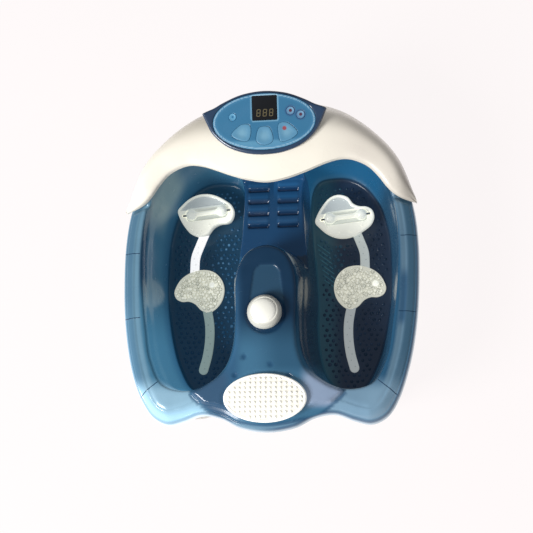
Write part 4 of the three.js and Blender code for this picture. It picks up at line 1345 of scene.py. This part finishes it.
def add_bar(shell, start, end, z, look):
    """One six-sided bar of a figure, leaning like the rest."""
    a, b = np.array(start), np.array(end)
    along = (b - a) / np.linalg.norm(b - a)
    side = np.array([along[1], -along[0]]) * SEGMENT / 2
    tip = along * SEGMENT / 2
    loop = np.array([a - tip, a + side, b + side, b + tip, b - side, a - side])
    loop[:, 0] += DIGIT_LEAN * (loop[:, 1] - DIGIT_FOOT)
    shell.face(shell.rings([lift(loop, z - 0.3), lift(loop, z)], look)[-1], look)


def display_shell():
    shell = Shell()
    loop = display_outline()
    top = FASCIA_TOP - 0.2
    rings = inset_rings(shell, loop, [(0, FASCIA_BOTTOM), (0, top - 0.4), (0.15, top - 0.1), (0.5, top)])
    shell.face(rings[0])
    shell.face(rings[-1])
    for place in DIGIT_PLACES:
        for start, end in digit_bars(place):
            add_bar(shell, start, end, top + 0.12, 1)
    return shell


def petal_shell(name):
    """A finger key with a rounded edge and a shallow dish."""
    shell = Shell()
    loop = key_outline(name)
    steps = [(0, KEY_BOTTOM), (0, KEY_TOP - 0.7), (0.2, KEY_TOP - 0.25), (0.9, KEY_TOP)]
    rings = inset_rings(shell, loop, [*steps, (1.8, KEY_TOP - 0.05)])
    shell.face(rings[0])
    dish = shell.array()[rings[-1]][:, :2]

    def top(points):
        return KEY_TOP - 0.05 - 0.45 * smoothstep(0, 6, depth_inside(points, dish))

    plate_top(shell, rings[-1], 1.2, top)
    return shell


def petal_tint(local, name):
    middle = key_outline(name).mean(0)
    tint = np.tile(hex_colour("#5e93b2"), (len(local), 1))
    near = 1 - smoothstep(0, 11, np.hypot(*(local[:, :2] - middle).T))
    tint = blend_to(tint, "#7aa9c1", near)
    if name == "button_right":
        spot = 1 - smoothstep(2.4, 3.1, np.hypot(local[:, 0] - 27.0, local[:, 1] + 9.9))
        tint = blend_to(tint, "#a2403c", spot)
    return tint


def round_key_tint(local, name):
    """A pale ring round a dark red middle, or a small pale lamp key."""
    x, y, radius = ROUND_KEYS[name]
    reach = np.hypot(local[:, 0] - x, local[:, 1] - y) / radius
    if name == "key_light":
        tint = np.tile(hex_colour("#4f92ba"), (len(local), 1))
        tint = blend_to(tint, "#6fabca", smoothstep(0.35, 0.55, reach) * (1 - smoothstep(0.72, 0.9, reach)))
        return blend_to(tint, "#2d6389", 1 - smoothstep(0.12, 0.25, reach))
    tint = np.tile(hex_colour("#749fbd"), (len(local), 1))
    tint = blend_to(tint, "#4c6c93", smoothstep(0.72, 0.92, reach))
    return blend_to(tint, "#5d1c2b", 1 - smoothstep(0.3, 0.48, reach))


def round_key_shell(name):
    x, y, radius = ROUND_KEYS[name]
    shell = Shell()
    profile = [(radius, KEY_BOTTOM), (radius, KEY_TOP - 0.6), (radius - 0.25, KEY_TOP - 0.15),
               (radius - 0.8, KEY_TOP), (0.72 * radius, KEY_TOP - 0.1), (0.6 * radius, KEY_TOP - 0.35),
               (0.45 * radius, KEY_TOP - 0.4), (0.3 * radius, KEY_TOP - 0.3),
               (0.12 * radius, KEY_TOP - 0.25)]
    lathe(shell, profile, 40)
    return moved(shell, Matrix.Translation((x, y, 0)))


def panel_piece(name, shell, material, body, slot, node, tint=None, flat_angle=40):
    """Puts a piece made flat about the panel's middle into the tilted panel."""
    local = shell.array()
    obj = make_object(name, moved(shell, panel_matrix()), material, flat_angle=flat_angle)
    if tint is not None:
        paint(obj, tint(local))
    return fit(obj, body, slot, node)


def build_panel():
    panel_piece("pod_shell", pod_shell(), [POD_BLUE], "root", "pod_blue", "control_pod")
    panel_piece("fascia_plate", fascia_shell(), [PANEL_BLUE], "root", "panel_blue", "panel_fascia",
                fascia_tint)
    panel_piece("display_glass", display_shell(), [DISPLAY_BLACK, DIGIT_GOLD], "root", "display",
                "display_window")
    for name in PETALS:
        panel_piece(f"petal_{name}", petal_shell(name), [PANEL_BLUE], name, "petal", name,
                    lambda local, key=name: petal_tint(local, key))
    for name in ROUND_KEYS:
        panel_piece(f"round_{name}", round_key_shell(name), [PANEL_BLUE], name, "key", name,
                    lambda local, key=name: round_key_tint(local, key))


build_panel()


# ---------------------------------------------------------------- foot well fittings
PAD_TOP = FITTING_Z + 3.4
# Share of their tint that the well fittings give back as painted glow, more on the right, where the ridge
# shades them.
WELL_GLOW = {"left": 0.42, "right": 0.5}
PAD_GLOW = {"left": 0.58, "right": 0.76}
PEBBLE_PITCH = 4.7
BIG_PEBBLES = {"left": (-95.4, -2.0), "right": (136.0, -6.0)}
ROLLER_Z = 62.0
TRAY_POCKET = (60.0, 19.0, 6.0)
TRAY_STUDS = 11


def build_acupressure_pads():
    rng = np.random.default_rng(SEED)
    for name in WELLS:
        shell = Shell()
        loop = kidney_loop(name)
        steps = [(0, 0), (0, 1.2), (0.15, 2.4), (0.6, 3.0), (1.4, 3.4)]
        rings = inset_rings(shell, loop, [(depth, FITTING_Z + z) for depth, z in steps])
        shell.face(rings[0])
        shell.face(rings[-1])
        bed = inset(loop, 3.2)
        big = np.array(BIG_PEBBLES[name])
        spots = scatter(PEBBLE_PITCH, bed.min(0) - 2, bed.max(0) + 2, lambda p: np.full(len(p), True))
        spots = spots + rng.uniform(-1.3, 1.3, spots.shape)
        spots = spots[(depth_inside(spots, bed) > 0) & (np.hypot(*(spots - big).T) > 5.6)]
        for x, y in spots:
            dome(shell, (x, y, PAD_TOP - 0.2), rng.uniform(1.7, 3.2), rng.uniform(1.2, 2.2), 9)
        dome(shell, (*big, PAD_TOP - 0.2), 4.6, 2.3, 18)
        obj = make_object(f"acupressure_bed_{name}", shell, [MILKY], closed=False)
        p = vertex_places(obj)
        paint(obj, pebble_tint(p, name), np.full(len(p), PAD_GLOW[name]))
        fit(obj, "root", "clear_white", f"acupressure_pad_{name}")


def pebble_tint(p, name):
    """Milky stones over a bed darkened with painted shade between them; the left pad is the warmer and
    lighter one.
    """
    light, dark = ("#fffdea", "#747968") if name == "left" else ("#e9e7d6", "#74766b")
    tint = np.tile(hex_colour(dark), (len(p), 1))
    tint = blend_to(tint, light, smoothstep(PAD_TOP + 0.1, PAD_TOP + 1.6, p[:, 2]))
    big = 1 - smoothstep(4.4, 5.0, np.hypot(*(p[:, :2] - np.array(BIG_PEBBLES[name])).T))
    tint = blend_to(tint, "#fbfbee", big)
    rim = (depth_inside(p, kidney_loop(name)) < 1.6).astype(float)
    return blend_to(tint, light, 0.7 * rim)


def tray_centre(name):
    x, y, flip = TRAYS[name]
    return np.array([x + 2, y + 2 * flip])


def roller_frame(points, name):
    """Points in the roller's own directions: along the bar, and across it towards the rear."""
    offset = points[:, :2] - tray_centre(name)
    along = np.array([math.cos(ROLLER_TURN), math.sin(ROLLER_TURN)])
    return offset @ along, offset @ np.array([-along[1], along[0]])


def pocket_loop(name):
    """The rounded pocket that the roller lies in."""
    width, depth, radius = TRAY_POCKET
    angles = (np.arange(64) + 0.5) / 64 * 2 * math.pi
    x = np.sign(np.cos(angles)) * (width / 2 - radius) + radius * np.cos(angles)
    y = np.sign(np.sin(angles)) * (depth / 2 - radius) + radius * np.sin(angles)
    turn = np.array(Matrix.Rotation(ROLLER_TURN, 2))
    return np.column_stack([x, y]) @ turn.T + tray_centre(name)


def tray_recess(points, name, loop):
    """Weight of the sunken field behind the roller."""
    _, across = roller_frame(points, name)
    return smoothstep(7.5, 9.5, across) * smoothstep(3.0, 5.0, depth_inside(points, loop))


def build_roller_tray(name):
    shell = Shell()
    loop = tray_loop(name)
    steps = [(6, FITTING_Z), (4.4, 41), (2, 48), (0.7, 53), (0, 57), (0.1, 59.5), (0.8, 61.2), (2.0, 61.9)]
    rings = inset_rings(shell, loop, [*steps, (3.2, ROLLER_Z)])
    pocket = pocket_loop(name)
    walls = [(-0.9, ROLLER_Z), (-0.25, 61.6), (0, 60.8), (0, 54.5), (1.2, 53.2)]
    hole = inset_rings(shell, pocket, walls)
    shell.face(rings[0])
    shell.face(hole[-1])

    def top(p):
        along, across = roller_frame(p, name)
        slot = (1 - smoothstep(1.7, 2.2, np.abs(across))) * (1 - smoothstep(35, 35.8, np.abs(along)))
        return ROLLER_Z - 2.2 * tray_recess(p, name, loop) - 3.6 * slot

    plate_top(shell, rings[-1], 1.15, top, [hole[0]], 0.5)
    edge = inset(loop, 6.5)
    for x, y in edge[::len(edge) // TRAY_STUDS]:
        if depth_inside(np.array([[x, y]]), pocket)[0] < -3:
            z = float(top(np.array([[x, y]]))[0])
            dome(shell, (x, y, z - 0.1), 1.5, min(1.1, 63.0 - z), 10)
    obj = make_object(f"tray_{name}", shell, [MILKY], closed=False, flat_angle=50)
    p = vertex_places(obj)
    tint = np.tile(hex_colour("#fbfaec"), (len(p), 1))
    # Painted shade over the sunken field behind the roller and inside the pocket; the sides turn greyer
    # towards the bottom.
    tint = blend_to(tint, "#a3adb2", 0.85 * tray_recess(p, name, loop) * (p[:, 2] > 58))
    sunk = (p[:, 2] < 60.2) * (depth_inside(p, pocket) > -0.2)
    tint = blend_to(tint, "#b4b8b6", sunk)
    tint = blend_to(tint, "#c9ccc4", 1 - smoothstep(40, 56, p[:, 2]))
    paint(obj, tint, np.full(len(p), WELL_GLOW[name]))
    fit(obj, "root", "white_plastic", f"roller_tray_{name}")


def build_roller(name):
    """A clear dumb-bell roller, with shallow flutes along its two bulbs."""
    half = [(1.9, -29.2), (3.2, -29.2), (4.6, -28.7), (6.0, -27.4), (7.2, -25.6), (7.8, -23.8), (8, -22),
            (7.8, -20.2), (7.2, -18.2), (5.9, -16.4), (4.6, -15.1), (3.9, -13.6), (3.6, -12), (3.5, -6)]
    profile = half + [(3.5, 0)] + [(r, -z) for r, z in reversed(half)]
    shell = Shell()
    lathe(shell, profile, 60, flutes=10, flute_depth=0.035)
    x, y = tray_centre(name)
    lie = Matrix.Rotation(ROLLER_TURN, 4, "Z") @ Matrix.Rotation(math.radians(90), 4, "Y")
    obj = make_object(f"roller_{name}", moved(shell, Matrix.Translation((x, y, ROLLER_Z)) @ lie), [MILKY])
    p = vertex_places(obj)
    along, _ = roller_frame(p, name)
    tint = np.tile(hex_colour("#f4f4e6"), (len(p), 1))
    tint = blend_to(tint, "#dfe3dc", smoothstep(13, 17, np.abs(along)) * 0.6)
    paint(obj, tint, np.full(len(p), WELL_GLOW[name]))
    fit(obj, f"roller_{name}", "clear_white", f"foot_roller_{name}")


def pinholes(path, every=9.0):
    """Air holes down the middle of a strip, alternately a little to each side."""
    line = smooth_line(path, 200)
    lengths = np.r_[0, np.cumsum(np.linalg.norm(np.diff(line, axis=0), axis=1))]
    marks = np.arange(every / 2, lengths[-1], every)
    spots = np.stack([np.interp(marks, lengths, line[:, k]) for k in (0, 1)], 1)
    spots[:, 0] += np.where(np.arange(len(spots)) % 2, 1.6, -1.6)
    return spots


# One white plastic for all four strips; these tones are painted light and shade for where each lies, and
# their glow is painted light.
STRIP_LIGHT_AND_SHADE = {
    ("rear", "left"): "#fffdfd", ("front", "left"): "#9db0a9",
    ("rear", "right"): "#c0c6c3", ("front", "right"): "#b5bab9",
}
STRIP_GLOW = {
    ("rear", "left"): 0.8, ("front", "left"): 0.48, ("rear", "right"): 0.6, ("front", "right"): 0.56,
}


def build_bubble_strip(end, path, name):
    shell = Shell()
    line = strip_path(name, path)
    loop = ribbon_loop(line, STRIP_WIDTH)
    steps = [(0, 0), (0, 1.6), (0.25, 2.4), (0.7, 2.8), (1.4, 3.0)]
    rings = inset_rings(shell, loop, [(depth, FITTING_Z + z) for depth, z in steps])
    shell.face(rings[0])
    holes = pinholes(line)

    def nearest(p):
        return np.min(np.linalg.norm(p[:, None, :2] - holes[None], axis=2), 1)

    def top(p):
        return FITTING_Z + 3.0 - 0.9 * (1 - smoothstep(0.5, 1.2, nearest(p)))

    plate_top(shell, rings[-1], 0.9, top)
    obj = make_object(f"strip_{end}_{name}", shell, [MILKY], flat_angle=60)
    p = vertex_places(obj)
    tint = np.tile(hex_colour(STRIP_LIGHT_AND_SHADE[end, name]), (len(p), 1))
    # Painted shade: darker in the pinholes.
    holes_here = (1 - smoothstep(0.5, 1.1, nearest(p))) * (p[:, 2] > FITTING_Z + 1)
    paint(obj, blend_to(tint, "#6b767a", 0.6 * holes_here), np.full(len(p), STRIP_GLOW[end, name]))
    fit(obj, "root", "clear_white", f"bubble_strip_{end}_{name}")


build_acupressure_pads()
for side in WELLS:
    build_roller_tray(side)
    build_roller(side)
    build_bubble_strip("rear", REAR_STRIP, side)
    build_bubble_strip("front", FRONT_STRIP, side)


# ---------------------------------------------------------------- nodule pad on the front plateau
PAD_RADII = (52.5, 30.5)
PAD_BED = (49.2, 27.2)
NODULE_STEP = (6.5, 5.9)
SEAT_RISE = 0.6


def pad_crown(x, y):
    """Height of the pad's shallow crown above its seat."""
    return 5.2 + 1.9 * np.clip(1 - (x / PAD_BED[0]) ** 2 - (y / PAD_BED[1]) ** 2, 0, 1) ** 0.8


def build_nodule_pad():
    shell = Shell()
    outline = ellipse(*PAD_RADII, 200)
    steps = [(1.5, 0), (0.4, 1.0), (0, 2.2), (0, 4.2), (0.4, 5.3), (1.2, 6.1), (2.2, 6.4), (3.1, 6.0),
             (4.0, 5.2)]
    rings = inset_rings(shell, outline, steps)
    shell.face(rings[0])
    plate_top(shell, rings[-1], 2.2, lambda p: pad_crown(p[:, 0], p[:, 1]))
    columns, rows = [int(reach / step) for reach, step in zip(PAD_BED, NODULE_STEP)]
    for i in range(-columns, columns + 1):
        for j in range(-rows, rows + 1):
            x, y = i * NODULE_STEP[0], j * NODULE_STEP[1]
            if (x / (PAD_BED[0] - 1.2)) ** 2 + (y / (PAD_BED[1] - 1.2)) ** 2 < 1:
                dome(shell, (x, y, pad_crown(x, y) - 0.3), 2.35, 2.0, 14)
    seat = RIDGE_TOP_AT_0 + RIDGE_SLOPE * PAD_Y + SEAT_RISE
    place = Matrix.Translation((0, PAD_Y, seat)) @ Matrix.Rotation(math.atan(RIDGE_SLOPE), 4, "X")
    local = shell.array()
    obj = make_object("nodule_bed", moved(shell, place), [MILKY_WHITE], closed=False)
    rise = local[:, 2] - pad_crown(local[:, 0], local[:, 1])
    tint = np.tile(hex_colour("#fdfcf4"), (len(local), 1))
    bed = (np.hypot(local[:, 0] / PAD_BED[0], local[:, 1] / PAD_BED[1]) < 1).astype(float)
    # Painted shade: darker low between the nodules.
    tint = blend_to(tint, "#e2dccf", 0.8 * bed * (1 - smoothstep(0.0, 0.9, rise)))
    paint(obj, tint, np.full(len(local), 0.22))
    fit(obj, "nodule_pad", "white_plastic", "nodule_pad")


build_nodule_pad()


# ---------------------------------------------------------------- massage head
HEAD_SEAT = 2.2


def build_massage_head():
    profile = [(4.4, 0), (17.6, 0), (19.6, 0.5), (21.2, 1.7), (22.0, 3.2), (22.3, 5), (22.1, 7.2),
               (21.4, 9.4), (20.3, 11.3), (18.8, 13.0), (17.5, 14.0), (16.9, 14.1), (16.5, 13.9),
               (16.1, 14.2), (15.4, 15.1), (14.0, 16.2), (11.5, 17.3), (8.0, 18.2), (4.0, 18.8), (1.2, 19.0)]
    shell = Shell()
    lathe(shell, profile, 96)
    seat = RIDGE_TOP_AT_0 + RIDGE_SLOPE * HEAD_Y + HEAD_SEAT
    obj = make_object("head_knob", moved(shell, Matrix.Translation((0, HEAD_Y, seat))), [MILKY_WHITE])
    p = vertex_places(obj)
    reach = np.hypot(p[:, 0], p[:, 1] - HEAD_Y)
    tint = np.tile(hex_colour("#fffdf2"), (len(p), 1))
    # Painted shade: darker over the rounded shoulder.
    paint(obj, blend_to(tint, "#c4c3b9", smoothstep(15.6, 18.5, reach)))
    fit(obj, "massage_head", "white_plastic", "massage_head")


build_massage_head()


# ---------------------------------------------------------------- base housing, feet and gland
FOOT_SCALE = (0.85, 0.87)
KNEE_SCALE = (0.88, 0.89)
KNEE_Z = BASE_BOTTOM_Z + 6
MOUTH_INSET = 8.0
BASE_WALL = 2.5
GROOVES = (34.0, 104.0)
FEET = {
    "front_left": (-118, -148), "front_right": (118, -148),
    "rear_left": (-112, 128), "rear_right": (112, 128),
}
GLAND_PLACE = (-70.0, 186.4, 30.0)


def housing_loop(z):
    """The housing's outline at a height, widening from its knee to its mouth."""
    knee = RIM * KNEE_SCALE
    mouth = inset(RIM, MOUTH_INSET)
    t = (z - KNEE_Z) / (BASE_TOP_Z - KNEE_Z)
    groove = sum(0.7 * math.exp(-((z - level) / 0.9) ** 2) for level in GROOVES)
    return inset(knee + (mouth - knee) * t, groove)


def build_base_housing():
    shell = Shell()
    foot = RIM * FOOT_SCALE
    rings = [lift(inset(foot, 1.5), BASE_BOTTOM_Z), lift(inset(foot, 0.4), BASE_BOTTOM_Z + 0.35)]
    for t in (0.25, 0.5, 0.75):
        edge = foot + (RIM * KNEE_SCALE - foot) * t
        rings.append(lift(edge, BASE_BOTTOM_Z + 0.8 + 5.2 * t ** 1.3))
    heights = set(np.linspace(KNEE_Z, BASE_TOP_Z, 12))
    for level in GROOVES:
        heights |= {level + step for step in (-2.4, -1.3, -0.7, 0, 0.7, 1.3, 2.4)}
    rings += [lift(housing_loop(z), z) for z in sorted(heights)]
    mouth = housing_loop(BASE_TOP_Z)
    rings += [lift(inset(mouth, BASE_WALL), BASE_TOP_Z), lift(inset(mouth, BASE_WALL + 2), BASE_TOP_Z - 16)]
    indices = shell.rings(rings)
    shell.cap(indices[0])
    obj = make_object("housing_shell", shell, [HOUSING], closed=False, flat_angle=55)
    if sum(f.normal.z * f.area for f in obj.data.polygons if f.center.z < KNEE_Z * MM) > 0:
        obj.data.flip_normals()
    fit(obj, "root", "housing", "base_housing")


def build_feet():
    profile = [(3.0, 0.5), (4.0, 0), (8.0, 0), (8.7, 0.4), (9, 1.1), (8.95, 2.4), (8.9, 3.7), (7.0, 3.7)]
    for name, (x, y) in FEET.items():
        shell = Shell()
        lathe(shell, profile, 48)
        place = Matrix.Translation((x, y, 0))
        obj = make_object(f"foot_pad_{name}", moved(shell, place), [RUBBER], flat_angle=40)
        fit(obj, "root", "rubber", f"foot_{name}")


def build_gland():
    """The rubber cord bush, with ribs that let it flex."""
    profile = [(5.9, -8), (5.9, 2.6), (8.6, 3.0), (9, 3.4), (9, 5.6), (8.4, 6.0), (7.3, 6.6), (7.5, 7.4),
               (6.8, 7.8), (7.1, 8.6), (6.3, 9.0), (6.6, 9.9), (5.9, 10.4), (6.0, 11.6), (5.6, 12),
               (3.6, 12), (3.5, 9)]
    shell = Shell()
    lathe(shell, profile, 40)
    place = Matrix.Translation(GLAND_PLACE) @ Matrix.Rotation(math.radians(-90), 4, "X")
    obj = make_object("gland_bush", moved(shell, place), [RUBBER], flat_angle=40)
    fit(obj, "root", "rubber", "cord_gland")


build_base_housing()
build_feet()
build_gland()

# ---------------------------------------------------------------- finishes of the CAD nodes that stay
refinish(STEEL, "head_spindle", "roller_axle_left", "roller_axle_right", "eccentric_weight",
         *(f"base_screw_{i}" for i in range(1, 7)))
refinish(RUBBER, "spindle_seal")
refinish(ACETAL, "spindle_gear")
refinish(BRASS, "motor_pinion")
refinish(MOTOR_CAN, "gear_motor", "vibration_motor")
refinish(ALUMINIUM, "drive_frame", "heater_plate_left", "heater_plate_right")
refinish(BOARD, "control_board", "main_board")
refinish(HOUSING, "air_pump")
refinish(HOSE, "air_hose_left", "air_hose_right")
refinish(CABLE, "panel_cable")


# ---------------------------------------------------------------- lights and floor
LIGHT_TARGET = (0, 0, 0.1)
FLOOR_GLOW = (1.0, 0.955, 0.955, 1)
FLOOR_STRENGTH = 0.94
SKY_COLOUR = (0.93, 0.96, 1.0, 1)
SKY_STRENGTH = 0.22


def add_light(name, place, target, size, energy):
    data = bpy.data.lights.new(name, "AREA")
    data.shape = "RECTANGLE"
    data.size, data.size_y = size
    data.energy = energy
    light = bpy.data.objects.new(name, data)
    light.location = place
    light.rotation_euler = (Vector(target) - Vector(place)).to_track_quat("-Z", "Y").to_euler()
    bpy.context.scene.collection.objects.link(light)


def add_floor():
    mesh = bpy.data.meshes.new("floor")
    reach = 6.0
    corners = [(-reach, -reach, 0), (reach, -reach, 0), (reach, reach, 0), (-reach, reach, 0)]
    mesh.from_pydata(corners, [], [(0, 1, 2, 3)])
    look = Look("floor", 0.9, specular=0.1)
    look.colour(mixed(look, look.noise(3.0), hex_colour("#454343"), hex_colour("#474545")))
    look.shader.inputs["Emission Color"].default_value = FLOOR_GLOW
    look.shader.inputs["Emission Strength"].default_value = FLOOR_STRENGTH
    mesh.materials.append(look.material)
    floor = bpy.data.objects.new("floor", mesh)
    floor.location.z = -0.0005
    bpy.context.scene.collection.objects.link(floor)


def add_world():
    world = bpy.data.worlds.new("studio")
    world.use_nodes = True
    back = world.node_tree.nodes["Background"]
    back.inputs["Color"].default_value = SKY_COLOUR
    back.inputs["Strength"].default_value = SKY_STRENGTH
    bpy.context.scene.world = world


add_floor()
add_world()
add_light("key", (-1.45, -1.15, 1.6), LIGHT_TARGET, (0.9, 0.9), 72)
add_light("fill", (1.4, -0.6, 1.5), LIGHT_TARGET, (1.0, 1.0), 2)
bpy.context.scene.view_settings.view_transform = "Standard"
